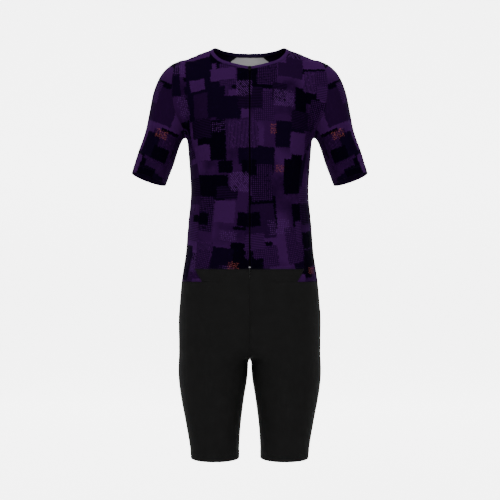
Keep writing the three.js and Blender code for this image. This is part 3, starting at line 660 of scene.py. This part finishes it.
def flattened(name, points, quads, guess):
    """The cloth's flat cut: the outer face unwrapped, at its real area, turned to fit `guess`"""
    obj = new_object(name, points, quads, [])
    bpy.context.view_layer.objects.active = obj
    obj.select_set(True)
    bpy.ops.object.mode_set(mode="EDIT")
    bpy.ops.mesh.select_all(action="SELECT")
    bpy.ops.uv.unwrap(method="MINIMUM_STRETCH", fill_holes=False, correct_aspect=False, margin=0)
    bpy.ops.object.mode_set(mode="OBJECT")
    mesh = obj.data
    corners = np.zeros(len(mesh.loops), np.int32)
    mesh.loops.foreach_get("vertex_index", corners)
    flat = np.zeros(len(mesh.loops) * 2, np.float32)
    mesh.uv_layers.active.data.foreach_get("uv", flat)
    uv = np.zeros((len(points), 2))
    uv[corners] = flat.reshape(-1, 2)
    bpy.data.objects.remove(obj)
    bpy.data.meshes.remove(mesh)

    def area(corner_points):
        a, b, c, d = (corner_points[quads[:, k]] for k in range(4))
        if corner_points.shape[1] == 2:
            return 0.5 * abs(((c - a)[:, 0] * (d - b)[:, 1] - (c - a)[:, 1] * (d - b)[:, 0]).sum())
        return 0.5 * np.linalg.norm(np.cross(c - a, d - b), axis=1).sum()

    uv *= math.sqrt(area(points) / area(uv))
    uv -= uv.mean(0)
    centre = guess.mean(0)
    left, _, right = np.linalg.svd(uv.T @ (guess - centre))
    uv = uv @ left @ right + centre
    return uv, area(points)


def cloth_shell(name, grids, materials, guess, shift=None):
    """A thin closed shell of cloth over the form, with the first material outside and on its
    edges and the second one inside"""
    points, quads = joined_points(grids)
    normals = unit(slope_of(points))
    rim = rim_of(quads)
    uv, area = flattened(name, points, quads, guess(points))
    if shift is not None:
        uv = uv + shift(points, uv)
    relief = cloth_relief(points)[:, None]
    seated = points + rim_shift(points, normals, rim)
    outer = seated + normals * relief
    inner = seated + normals * (np.maximum(relief, -0.3) - CLOTH)
    below = len(points)
    walls = np.column_stack([rim[:, 1], rim[:, 0], rim[:, 0] + below, rim[:, 1] + below])
    faces = np.vstack([quads, quads[:, ::-1] + below, walls])
    inside = np.zeros(len(faces), int)
    inside[len(quads):2 * len(quads)] = 1
    obj = new_object(name, np.vstack([outer, inner]), faces, materials, inside)
    set_uv(obj, np.vstack([uv, uv]))
    size = (uv.max(0) - uv.min(0)) * MM
    return obj, size, area * MM * MM


# Materials

class Wire:
    """A number in a material's node tree that takes arithmetic"""

    def __init__(self, tree, socket):
        self.tree, self.socket = tree, socket

    def math(self, operation, *others):
        node = self.tree.nodes.new("ShaderNodeMath")
        node.operation = operation
        for slot, value in zip(node.inputs, (self, *others)):
            if isinstance(value, Wire):
                self.tree.links.new(value.socket, slot)
            else:
                slot.default_value = value
        return Wire(self.tree, node.outputs[0])

    def __add__(self, other):
        return self.math("ADD", other)

    def __sub__(self, other):
        return self.math("SUBTRACT", other)

    def __mul__(self, other):
        return self.math("MULTIPLY", other)

    __radd__ = __add__
    __rmul__ = __mul__

    def part(self):
        return self.math("FRACT")

    def floor(self):
        return self.math("FLOOR")

    def size(self):
        return self.math("ABSOLUTE")

    def below(self, limit):
        return self.math("LESS_THAN", limit)

    def above(self, limit):
        return self.math("GREATER_THAN", limit)

    def ramp(self, low, high):
        """Rises from 0 at low to 1 at high"""
        node = self.tree.nodes.new("ShaderNodeMapRange")
        node.inputs["From Min"].default_value = low
        node.inputs["From Max"].default_value = high
        self.tree.links.new(self.socket, node.inputs["Value"])
        return Wire(self.tree, node.outputs["Result"])


class Shop:
    """One material and the nodes that it is made of"""

    def __init__(self, name, roughness, specular, metallic=0.0):
        self.material = bpy.data.materials.new(name)
        self.material.use_nodes = True
        self.tree = self.material.node_tree
        self.shader = next(n for n in self.tree.nodes if n.type == "BSDF_PRINCIPLED")
        self.shader.inputs["Roughness"].default_value = roughness
        self.shader.inputs["Specular IOR Level"].default_value = specular
        self.shader.inputs["Metallic"].default_value = metallic

    def node(self, kind, **inputs):
        node = self.tree.nodes.new(kind)
        for name, value in inputs.items():
            self.give(node.inputs[name], value)
        return node

    def give(self, slot, value):
        if isinstance(value, Wire):
            self.tree.links.new(value.socket, slot)
        elif isinstance(value, bpy.types.NodeSocket):
            self.tree.links.new(value, slot)
        elif hasattr(value, "__len__") and len(value) == 3 and slot.type == "RGBA":
            slot.default_value = (*value, 1)
        else:
            slot.default_value = value

    def cloth_place(self):
        """The place on the flat cloth across and along, in metres"""
        node = self.tree.nodes.new("ShaderNodeUVMap")
        node.uv_map = "cloth"
        parts = self.node("ShaderNodeSeparateXYZ", Vector=node.outputs["UV"])
        return Wire(self.tree, parts.outputs["X"]), Wire(self.tree, parts.outputs["Y"])

    def object_place(self):
        return self.tree.nodes.new("ShaderNodeTexCoord").outputs["Object"]

    def vector(self, x, y, z=0.0):
        return self.node("ShaderNodeCombineXYZ", X=x, Y=y, Z=z).outputs["Vector"]

    def chance(self, x, y, seed):
        """Three random numbers for each pair of whole numbers"""
        node = self.tree.nodes.new("ShaderNodeTexWhiteNoise")
        node.noise_dimensions = "3D"
        self.give(node.inputs["Vector"], self.vector(x, y, seed))
        parts = self.node("ShaderNodeSeparateColor", Color=node.outputs["Color"])
        return [Wire(self.tree, parts.outputs[k]) for k in range(3)]

    def noise(self, vector, scale, detail=2.0, roughness=0.5):
        node = self.node("ShaderNodeTexNoise", Vector=vector, Scale=scale, Detail=detail, Roughness=roughness)
        return Wire(self.tree, node.outputs["Fac"])

    def mix(self, share, first, second):
        node = self.tree.nodes.new("ShaderNodeMix")
        node.data_type = "RGBA"
        self.give(node.inputs[0], share)
        self.give(node.inputs[6], first)
        self.give(node.inputs[7], second)
        return node.outputs[2]

    def bump(self, height, distance, strength=1.0):
        node = self.node("ShaderNodeBump", Height=height, Distance=distance, Strength=strength)
        self.tree.links.new(node.outputs["Normal"], self.shader.inputs["Normal"])

    def colour(self, value):
        self.give(self.shader.inputs["Base Color"], value)

    def roughness(self, value):
        self.give(self.shader.inputs["Roughness"], value)


def knit(shop, u, v, gauge=0.0007):
    """The height of a fine knit: ribs along the cloth, with a loop in each at every course"""
    rib = (u * (2 * math.pi / gauge)).math("SINE")
    course = (v * (2 * math.pi / (gauge * 0.8)) + rib * 0.8).math("SINE")
    return rib * 0.35 + course * 0.25


PALETTE = {
    "night": (0.0008, 0.0003, 0.0026),
    "ink": (0.0022, 0.0006, 0.0056),
    "plum": (0.0066, 0.0014, 0.0128),
    "purple": (0.0128, 0.0024, 0.0225),
    "violet": (0.0195, 0.0040, 0.0330),
    "lilac": (0.0310, 0.0085, 0.0510),
    "coral": (0.1000, 0.0250, 0.0220),
}


def block_layer(shop, u, v, cell, seed, share, reach=(0.26, 0.5)):
    """Blocks of one size: a mask, and random numbers that are the same all over each block.
    Each block lies somewhere in its own cell, and its edges are a little ragged."""
    tear_u = shop.chance((v * 520).floor(), seed + 11.0, 0.5)[0]
    tear_v = shop.chance((u * 470).floor(), seed + 13.0, 0.5)[0]
    across = (u + (tear_u * tear_u) * 0.0035) * (1 / cell[0]) + seed * 0.37
    column = across.floor()
    drop = shop.chance(column, seed, 0.0)[0]
    up = (v + (tear_v * tear_v) * 0.0030) * (1 / cell[1]) + drop
    row = up.floor()
    a = shop.chance(column, row, seed + 0.1)
    b = shop.chance(column, row, seed + 5.3)
    low, high = reach
    half_u = a[0] * (high - low) + low
    half_v = a[1] * (high - low) + low
    centre_u = half_u + (half_u * -2 + 1) * a[2]
    centre_v = half_v + (half_v * -2 + 1) * b[0]
    mask = ((across - column) - centre_u).size().below(half_u)
    mask = mask * ((up - row) - centre_v).size().below(half_v)
    return mask * b[1].below(share), b[2], a[2]


def lines(place, pitch, share):
    return (place * (1 / pitch)).part().below(share)


def print_material(name):
    """Matt knit with overlapping blocks in dark purples, some filled with lines, dots or hatch"""
    shop = Shop(name, 0.85, 0.003)
    u, v = shop.cloth_place()
    place = shop.vector(u, v)
    cloud = shop.noise(place, 26.0, 3.0, 0.6)
    patch = shop.noise(place, 9.0, 1.0, 0.4)
    base = shop.mix(cloud.ramp(0.35, 0.65), PALETTE["purple"], PALETTE["plum"])
    base = shop.mix(patch.ramp(0.45, 0.6), base, PALETTE["violet"])
    fine = lines(u, 0.0031, 0.45)
    grid = (lines(u, 0.0044, 0.55) * lines(v, 0.0044, 0.55))
    hatch = lines(v, 0.0037, 0.5)
    slant = lines(u + v * 0.8, 0.0049, 0.5)
    wear = shop.noise(place, 180.0, 2.0, 0.7)

    # Large dark blocks, then lighter ones over them, then small dark ones
    mask, pick, _ = block_layer(shop, u, v, (0.112, 0.098), 1.0, 0.80)
    dark = shop.mix(pick.above(0.65), PALETTE["night"], PALETTE["ink"])
    base = shop.mix(mask, base, dark)
    mask, pick, other = block_layer(shop, u, v, (0.092, 0.078), 2.0, 0.52)
    light = shop.mix(pick.above(0.45), PALETTE["purple"], PALETTE["violet"])
    filled = shop.mix(fine * other.above(0.55) * wear.above(0.42), light, PALETTE["ink"])
    base = shop.mix(mask, base, filled)
    mask, pick, other = block_layer(shop, u, v, (0.070, 0.086), 3.0, 0.46)
    tone = shop.mix(pick.above(0.5), PALETTE["plum"], PALETTE["ink"])
    filled = shop.mix(grid * other.above(0.5) * wear.above(0.40), tone, PALETTE["violet"])
    base = shop.mix(mask, base, filled)
    mask, pick, other = block_layer(shop, u, v, (0.060, 0.052), 4.0, 0.30)
    tone = shop.mix(pick.above(0.6), PALETTE["night"], PALETTE["violet"])
    filled = shop.mix(hatch * other.above(0.6), tone, PALETTE["plum"])
    base = shop.mix(mask, base, filled)
    mask, pick, other = block_layer(shop, u, v, (0.118, 0.104), 5.0, 0.45, (0.10, 0.24))
    threads = shop.mix(other.above(0.5), grid.socket, slant.socket)
    base = shop.mix(mask * Wire(shop.tree, threads) * wear.above(0.45), base, PALETTE["lilac"])

    # A few small ragged flecks of coral
    mask, pick, _ = block_layer(shop, u, v, (0.170, 0.150), 6.0, 0.42, (0.04, 0.09))
    strokes = shop.noise(shop.vector(u, v * 2.4), 260.0, 2.0, 0.8)
    base = shop.mix(mask * strokes.above(0.56), base, PALETTE["coral"])

    mottle = shop.noise(place, 900.0, 2.0, 0.6)
    worn = shop.node("ShaderNodeHueSaturation", Color=base, Value=mottle * 0.5 + 0.78)
    shop.colour(worn.outputs["Color"])
    shop.roughness(mottle * 0.12 + 0.74)
    shop.bump(knit(shop, u, v) + mottle * 0.6, 0.00012, 0.8)
    return shop.material


def plain_knit(name, colour, shade, roughness=0.82, specular=0.008, cloud_size=30.0):
    """Matt knit of one colour with faint clouds of a second one"""
    shop = Shop(name, roughness, specular)
    u, v = shop.cloth_place()
    place = shop.vector(u, v)
    cloud = shop.noise(place, cloud_size, 3.0, 0.6)
    mottle = shop.noise(place, 800.0, 2.0, 0.6)
    tone = shop.mix(cloud.ramp(0.3, 0.7), colour, shade)
    worn = shop.node("ShaderNodeHueSaturation", Color=tone, Value=mottle * 0.35 + 0.83)
    shop.colour(worn.outputs["Color"])
    shop.roughness(mottle * 0.14 + (roughness - 0.07))
    shop.bump(knit(shop, u, v) + mottle * 0.6, 0.00012, 0.8)
    return shop.material


def thread_material(name, colour):
    """Twisted sewing thread"""
    shop = Shop(name, 0.6, 0.03)
    place = shop.object_place()
    ply = shop.noise(place, 2600.0, 1.0, 0.5)
    tone = shop.node("ShaderNodeHueSaturation", Color=(*colour, 1), Value=ply * 0.6 + 0.7)
    shop.colour(tone.outputs["Color"])
    shop.bump(ply, 0.0001, 0.7)
    return shop.material


def hard_material(name, colour, roughness, specular, metallic, grain=900.0):
    """Painted or bare metal and moulded plastic with a faint uneven surface"""
    shop = Shop(name, roughness, specular, metallic)
    place = shop.object_place()
    cast = shop.noise(place, grain, 3.0, 0.6)
    tone = shop.node("ShaderNodeHueSaturation", Color=(*colour, 1), Value=cast * 0.3 + 0.85)
    shop.colour(tone.outputs["Color"])
    shop.roughness(cast * 0.2 + (roughness - 0.1))
    shop.bump(cast, 0.00005, 0.5)
    return shop.material


print_cloth = print_material("print_cloth")
inside_dark = plain_knit("inside_dark", (0.0044, 0.0014, 0.0100), (0.0105, 0.0030, 0.0200))
inside_pale = plain_knit("inside_pale", (0.370, 0.364, 0.372), (0.335, 0.329, 0.338))
black_cloth = plain_knit("black_cloth", (0.0061, 0.0061, 0.0061), (0.0070, 0.0070, 0.0070))
binding_cloth = plain_knit("binding_cloth", (0.0230, 0.0050, 0.0400), (0.0185, 0.0042, 0.0330))
binding_inside = plain_knit("binding_inside", (0.0095, 0.0042, 0.0200), (0.0120, 0.0052, 0.0250))
tape_cloth = plain_knit("tape_cloth", (0.0022, 0.0017, 0.0030), (0.0030, 0.0024, 0.0038))
purple_thread = thread_material("purple_thread", (0.0100, 0.0026, 0.0180))
black_thread = thread_material("black_thread", (0.0052, 0.0052, 0.0053))
seam_tape = plain_knit("seam_tape", (0.0048, 0.0044, 0.0056), (0.0060, 0.0054, 0.0070))
coil_plastic = hard_material("coil_plastic", (0.0020, 0.0015, 0.0024), 0.5, 0.0, 0.0)
dark_metal = hard_material("dark_metal", (0.0036, 0.0034, 0.0040), 0.5, 0.01, 0.0)
pale_metal = hard_material("pale_metal", (0.17, 0.17, 0.18), 0.42, 0.3, 0.8)

# The cloth


def add_cloth(name, node, grids, materials, guess, shift=None):
    obj, size, area = cloth_shell(name, grids, materials, guess, shift)
    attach(obj, "suit")
    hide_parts(node)
    return obj


def front_guess(p):
    return p[:, [0, 2]]


def beside_zip(points, uv):
    """Sets the zip edge of a front on the middle line, so that the print runs on across it"""
    edge = np.abs(points[:, 0]) < zip_edge + 0.01
    side = np.sign(points[:, 0].mean())
    return np.array((side * zip_edge - uv[edge, 0].mean(), (points[edge, 2] - uv[edge, 1]).mean()))


def back_guess(p):
    return np.column_stack((np.arctan2(-p[:, 0], p[:, 1] + 30) * 140 + 3000, p[:, 2]))


def sleeve_guess(p):
    away = p * (np.sign(p[:, :1].mean()), 1, 1) - CUFF_CENTRE
    return np.column_stack((np.arctan2(away @ SLEEVE_DEEP, away @ SLEEVE_WIDE) * 50 + 6000, away @ SLEEVE_UP))


def leg_guess(p):
    side = np.sign(p[:, 0].mean())
    _, centre, middle, _, _ = table_at(LEG_LEVELS, p[:, 2])
    angle = np.arctan2(p[:, 1] - middle, p[:, 0] * side - centre) * side
    return np.column_stack((angle * 75 + 9000 * side, p[:, 2]))


front_cut = front_grids()
leg_cut = leg_grids()
add_cloth("cloth_front_left", "front_left", front_cut, [print_cloth, inside_dark],
          front_guess, beside_zip)
add_cloth("cloth_front_right", "front_right", [other_side(g) for g in front_cut],
          [print_cloth, inside_dark], front_guess, beside_zip)
add_cloth("cloth_back", "back", back_grids(), [print_cloth, inside_pale], back_guess)
add_cloth("cloth_sleeve_left", "sleeve_left", sleeve_cuts, [print_cloth, inside_dark],
          sleeve_guess)
add_cloth("cloth_sleeve_right", "sleeve_right", [other_side(g) for g in sleeve_cuts],
          [print_cloth, inside_dark], sleeve_guess)
add_cloth("cloth_leg_left", "leg_left", leg_cut, [black_cloth, inside_dark], leg_guess)
add_cloth("cloth_leg_right", "leg_right", [other_side(g) for g in leg_cut],
          [black_cloth, inside_dark], leg_guess)

# Neck binding

BINDING_PROUD, BINDING_DEPTH, STRIP = 0.4, 1.8, 0.7
INNER_REACH = 1.2               # how much further the strip runs inside than outside


def binding():
    """A strip of knit folded over the neck edge, a U in section"""
    downs = np.linspace(0, BINDING_WIDTH - SEAM_GAP, 7)
    rows = np.array([neck_edge(0.001, 1, down, 135) for down in downs])
    rows[:, 0, 0], rows[:, -1, 0] = zip_edge, 0
    rows = both_halves(rows)
    ups = unit(slope_of(rows.reshape(-1, 3))).reshape(rows.shape)
    fold = (BINDING_PROUD + BINDING_DEPTH) / 2
    middle = BINDING_PROUD - fold
    turn = np.linspace(math.pi / 2, -math.pi / 2, 9)
    inner_fold = fold - STRIP
    straight = np.linspace(downs[-1], fold, 6)
    path = [(s, BINDING_PROUD) for s in straight[:-1]]
    path += [(fold - fold * math.cos(a), middle + fold * math.sin(a)) for a in turn]
    inner_leg = straight + np.linspace(INNER_REACH, 0, 6)
    path += [(s, -BINDING_DEPTH) for s in inner_leg[-2::-1]]
    outside = len(path)
    path += [(s, STRIP - BINDING_DEPTH) for s in inner_leg[:-1]]
    path += [(fold - inner_fold * math.cos(a), middle + inner_fold * math.sin(a)) for a in turn[::-2]]
    path += [(s, BINDING_PROUD - STRIP) for s in straight[-2::-1]]
    points, uv = [], []
    stations = rows.shape[1]
    arc = lengths_of(rows[0])
    reach = 0
    for k, (s, n) in enumerate(path):
        at = s / downs[-1] * (len(downs) - 1)
        low = min(int(at), len(downs) - 2)
        t = at - low
        points.append(rows[low] * (1 - t) + rows[low + 1] * t + (ups[low] * (1 - t) + ups[low + 1] * t) * n)
        if k:
            reach += math.hypot(s - path[k - 1][0], n - path[k - 1][1])
        uv.append(np.column_stack((arc, np.full(stations, reach))))
    count = len(path)
    faces, kinds = [], []
    for k in range(count):
        after = (k + 1) % count
        for i in range(stations - 1):
            faces.append((k * stations + i, k * stations + i + 1, after * stations + i + 1, after * stations + i))
            kinds.append(0 if k < outside - 6 else 1)
    faces.append([k * stations for k in range(count)])
    faces.append([k * stations + stations - 1 for k in range(count)][::-1])
    kinds += [0, 0]
    obj = new_object("cloth_neck_binding", np.vstack(points), faces, [binding_cloth, binding_inside], kinds)
    set_uv(obj, np.vstack(uv))
    return obj, arc[-1]


binding_obj, binding_length = binding()
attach(binding_obj, "suit")
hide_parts("neck_binding")

# Zip

ZIP_TOP = neck_curve[0, 2] - 0.5
zip_z = np.linspace(WAIST_FRONT + SEAM_GAP, ZIP_TOP, 231)
zip_middle = straight_line(0, zip_z, -1)
zip_out = unit(slope_of(zip_middle))
zip_out[:, 0] = 0
zip_out = unit(zip_out)
zip_lengths = lengths_of(zip_middle)


def zip_tape():
    """The woven tape behind the fronts' folded edges, with a raised bed for the chain"""
    profile = [(-4.6, -2.0), (-4.6, -1.65), (-1.45, -1.6), (-1.25, -0.5), (1.25, -0.5),
               (1.45, -1.6), (4.6, -1.65), (4.6, -2.0)]
    across = np.array((1.0, 0.0, 0.0))
    points = np.vstack([zip_middle + across * x + zip_out * n for x, n in profile])
    rows, count = len(zip_middle), len(profile)
    faces = [(k * rows + i, ((k + 1) % count) * rows + i, ((k + 1) % count) * rows + i + 1, k * rows + i + 1)
             for k in range(count) for i in range(rows - 1)]
    faces.append([k * rows for k in range(count)][::-1])
    faces.append([k * rows + rows - 1 for k in range(count)])
    obj = new_object("zip_tapes", points, faces, [tape_cloth])
    set_uv(obj, np.vstack([np.column_stack((np.full(rows, x), zip_lengths)) for x, _ in profile]))
    return obj


def zip_coil():
    """Teeth of the closed chain, from the two sides in turn"""
    pitch = 1.3
    ring = np.array([(math.cos(a), math.sin(a)) for a in np.linspace(0, 2 * math.pi, 6, endpoint=False)])
    section = [(0.0, 0.35), (0.12, 0.85), (0.3, 1.0), (1.3, 1.0), (1.48, 0.85), (1.6, 0.35)]
    points, faces = [], []
    at = np.arange(pitch, zip_lengths[-1] - pitch / 2, pitch / 2)
    centres = at_shares(zip_middle, at / zip_lengths[-1])
    outs = np.column_stack([np.interp(at, zip_lengths, zip_out[:, k]) for k in range(3)])
    ups = np.cross(outs, (1.0, 0.0, 0.0))
    for k, (centre, out, up) in enumerate(zip(centres, outs, ups)):
        side = 1 if k % 2 else -1
        base = len(points)
        for reach, size in section:
            middle = centre + np.array((side * (reach - 0.35), 0, 0)) + out * 0.08
            points += [middle + up * (c * 0.34 * size) + out * (s * 0.5 * size) for c, s in ring]
        for j in range(len(section) - 1):
            for i in range(6):
                a, b = base + j * 6 + i, base + j * 6 + (i + 1) % 6
                faces.append((a, b, b + 6, a + 6) if side > 0 else (b, a, a + 6, b + 6))
        ends = [[base + i for i in range(6)], [base + (len(section) - 1) * 6 + i for i in range(6)]]
        faces += [ends[0][::-side], ends[1][::side]]
    return new_object("zip_teeth", points, faces, [coil_plastic])


tapes = zip_tape()
teeth = zip_coil()
for piece in (tapes, teeth):
    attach(piece, "suit")
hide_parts("zip")


def rounded(node, material, body):
    """The hard piece of a node with its edges rounded"""
    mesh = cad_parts[node].data.copy()
    obj = bpy.data.objects.new("rounded_" + node, mesh)
    bpy.context.scene.collection.objects.link(obj)
    mesh.materials.clear()
    mesh.materials.append(material)
    weld = obj.modifiers.new("weld", "WELD")
    weld.merge_threshold = 0.00001
    bevel = obj.modifiers.new("bevel", "BEVEL")
    bevel.width = 0.00028
    bevel.segments = 3
    bevel.limit_method = "ANGLE"
    bevel.angle_limit = math.radians(35)
    evaluated = obj.evaluated_get(bpy.context.evaluated_depsgraph_get())
    done = bpy.data.meshes.new_from_object(evaluated)
    obj.modifiers.clear()
    obj.data = done
    obj.data.polygons.foreach_set("use_smooth", np.zeros(len(done.polygons), bool))
    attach(obj, body)
    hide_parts(node)
    return obj


rounded("zip_slider", dark_metal, "suit")
rounded("zip_pull", dark_metal, "pull")
rounded("zip_stop", pale_metal, "suit")

# Tapes behind the seams


def tape_behind(line, wide):
    """Points of a narrow strip behind a seam: a ring of six at each station along it"""
    length = lengths_of(line)[-1]
    shares = np.linspace(0, 1, max(3, int(length / 5)))
    middle = at_shares(line, shares)
    ahead = unit(at_shares(line, shares + 2 / length) - at_shares(line, shares - 2 / length))
    sideways = np.cross(unit(slope_of(middle)), ahead)
    rows = [lay_on(middle + sideways * across, 3) for across in (-wide / 2, 0, wide / 2)]
    inward = [-unit(slope_of(row)) for row in rows]
    outer = [row + way * TAPE_DEPTH for row, way in zip(rows, inward)]
    inner = [row + way * (TAPE_DEPTH + TAPE_THICK) for row, way in zip(rows, inward)]
    return np.stack([*outer, *inner[::-1]], axis=1)


TAPE_DEPTH, TAPE_THICK = 1.5, 0.35


def seam_tapes():
    lines = [(line, 4.0 if name == "yoke" else 7.0) for name, line in SIDE_SEAMS.items()]
    lines += [(mirrored(line), wide) for line, wide in lines]
    lines += [(line, 7.0) for line in MIDDLE_SEAMS.values()]
    points, faces, uv = [], [], []
    for line, wide in lines:
        rings = tape_behind(line, wide)
        base = len(points)
        points += rings.reshape(-1, 3).tolist()
        for k in range(len(rings)):
            uv += [(wide * i / 6, 5.0 * k) for i in range(6)]
        for k in range(len(rings) - 1):
            a = base + 6 * k
            faces += [(a + i, a + (i + 1) % 6, a + (i + 1) % 6 + 6, a + i + 6) for i in range(6)]
        faces.append([base + i for i in range(6)][::-1])
        faces.append([base + 6 * (len(rings) - 1) + i for i in range(6)])
    obj = new_object("seam_tapes", points, faces, [seam_tape])
    set_uv(obj, np.array(uv))
    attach(obj, "suit")
    return obj


seam_tapes()

# Stitches


def stitch_places(line, offset, pitch=2.7):
    """Centres, directions and outward normals of a row of stitches beside a seam line"""
    length = lengths_of(line)[-1]
    shares = (np.arange(int(length / pitch)) + 0.5) * pitch / length
    p = at_shares(line, shares)
    ahead, behind = at_shares(line, shares + 0.6 / length), at_shares(line, shares - 0.6 / length)
    direction = unit(ahead - behind)
    if offset:
        p = lay_on(p + np.cross(unit(slope_of(p)), direction) * offset, 3)
    return p, direction, unit(slope_of(p))


def stitch_mesh(name, rows, material, long=0.95, wide=0.24):
    """All stitches of one thread, each a small grain lying along its seam"""
    centres, ways, ups = (np.vstack(parts) for parts in zip(*rows))
    lift = cloth_relief(centres)[:, None]
    if name == "stitches_binding":
        lift = np.full((len(centres), 1), BINDING_PROUD)
    centres = centres + ups * (lift + 0.06)
    sides = unit(np.cross(ups, ways))
    ways = np.cross(sides, ups)
    grain = [(-1, 0, -0.2), (-0.55, 1, 0), (-0.55, 0, 1), (-0.55, -1, 0), (-0.55, 0, -1),
             (0.55, 1, 0), (0.55, 0, 1), (0.55, -1, 0), (0.55, 0, -1), (1, 0, -0.2)]
    points = np.stack([centres + ways * (a * long) + sides * (b * wide) + ups * (c * wide)
                       for a, b, c in grain], axis=1).reshape(-1, 3)
    shape = [(0, 2, 1), (0, 3, 2), (0, 4, 3), (0, 1, 4), (1, 2, 6, 5), (2, 3, 7, 6), (3, 4, 8, 7),
             (4, 1, 5, 8), (9, 5, 6), (9, 6, 7), (9, 7, 8), (9, 8, 5)]
    faces = [[k * 10 + i for i in face] for k in range(len(centres)) for face in shape]
    obj = new_object(name, points, faces, [material])
    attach(obj, "suit")
    return obj


def twin_rows(line, mirror=True, gap=2.1):
    rows = [stitch_places(line, side * gap) for side in (-1, 1)]
    if mirror:
        rows += [stitch_places(mirrored(line), side * gap) for side in (-1, 1)]
    return rows


def hem_lines(grid, reach):
    """Lines round a tube of cloth at given distances from its first row"""
    lengths = np.array([lengths_of(grid[:, i]) for i in range(grid.shape[1])])
    return np.array([[np.interp(reach, lengths[i], grid[:, i, k]) for k in range(3)]
                     for i in range(grid.shape[1])])


upper_rows, lower_rows = [], []
for seam in ("armhole", "side", "yoke", "underarm"):
    upper_rows += twin_rows(SIDE_SEAMS[seam])
for seam in ("waist", "inseam"):
    lower_rows += twin_rows(SIDE_SEAMS[seam])
lower_rows += twin_rows(MIDDLE_SEAMS["crotch"], mirror=False)
for reach in (15.5, 18.5):
    for grid, rows in ((sleeve_cuts[0], upper_rows), (leg_cut[0], lower_rows)):
        line = hem_lines(grid, reach)
        rows += [stitch_places(line, 0), stitch_places(mirrored(line), 0)]
zip_beside = straight_line(zip_edge + 2.2, np.linspace(WAIST_FRONT + 4, neck_front[0, 2] - 1, 200), -1)
upper_rows += [stitch_places(zip_beside, 0), stitch_places(mirrored(zip_beside), 0)]
binding_line = neck_edge(0.012, 1, BINDING_WIDTH - 2.0, 200)
binding_rows = [stitch_places(binding_line, 0), stitch_places(mirrored(binding_line), 0)]
stitch_mesh("stitches_top", upper_rows, purple_thread)
stitch_mesh("stitches_shorts", lower_rows, black_thread)
stitch_mesh("stitches_binding", binding_rows, purple_thread)

# Floor and light

FLOOR = -1.22


def sweep():
    """A pale floor that curves up into a backdrop, which glows behind the suit"""
    line = [(-6.0, FLOOR), (2.6, FLOOR)]
    line += [(2.6 + 1.2 * math.sin(a), FLOOR + 1.2 - 1.2 * math.cos(a)) for a in np.linspace(0.1, math.pi / 2, 14)]
    line += [(3.8, 6.0)]
    points = [(x * 1000, y * 1000, z * 1000) for x in (-7.0, 7.0) for y, z in line]
    count = len(line)
    faces = [(i, count + i, count + i + 1, i + 1) for i in range(count - 1)]
    shop = Shop("backdrop", 0.9, 0.05)
    speck = shop.noise(shop.object_place(), 3.0, 2.0, 0.5)
    shop.colour(shop.mix(speck, (0.82, 0.82, 0.82), (0.83, 0.83, 0.83)))
    shop.give(shop.shader.inputs["Emission Color"], (1.0, 1.0, 1.0, 1.0))
    depth = shop.node("ShaderNodeSeparateXYZ", Vector=shop.object_place()).outputs["Y"]
    shop.give(shop.shader.inputs["Emission Strength"], Wire(shop.tree, depth).ramp(0.1, 0.65) * 3.8)
    return new_object("sweep", points, faces, [shop.material])


sweep()


def soft_light(name, place, target, width, height, power):
    data = bpy.data.lights.new(name, "AREA")
    data.shape = "RECTANGLE"
    data.size, data.size_y = width, height
    data.energy = power
    light = bpy.data.objects.new(name, data)
    bpy.context.scene.collection.objects.link(light)
    light.location = place
    light.rotation_euler = (Vector(target) - Vector(place)).to_track_quat("-Z", "Y").to_euler()


soft_light("key", (-1.2, -2.6, 1.7), (0, 0, -0.35), 2.0, 2.0, 112)
soft_light("fill", (2.0, -2.4, 1.0), (0, 0, -0.4), 2.0, 2.0, 54)
soft_light("top", (0, -0.4, 2.4), (0, 0.1, -0.4), 1.6, 1.2, 40)
soft_light("back_wall", (0, 1.4, 3.4), (0, 3.8, 0.0), 6.0, 1.0, 110)
world = bpy.data.worlds.new("world")
world.use_nodes = True
world.node_tree.nodes["Background"].inputs["Color"].default_value = (1, 1, 1, 1)
world.node_tree.nodes["Background"].inputs["Strength"].default_value = 0.32
bpy.context.scene.world = world
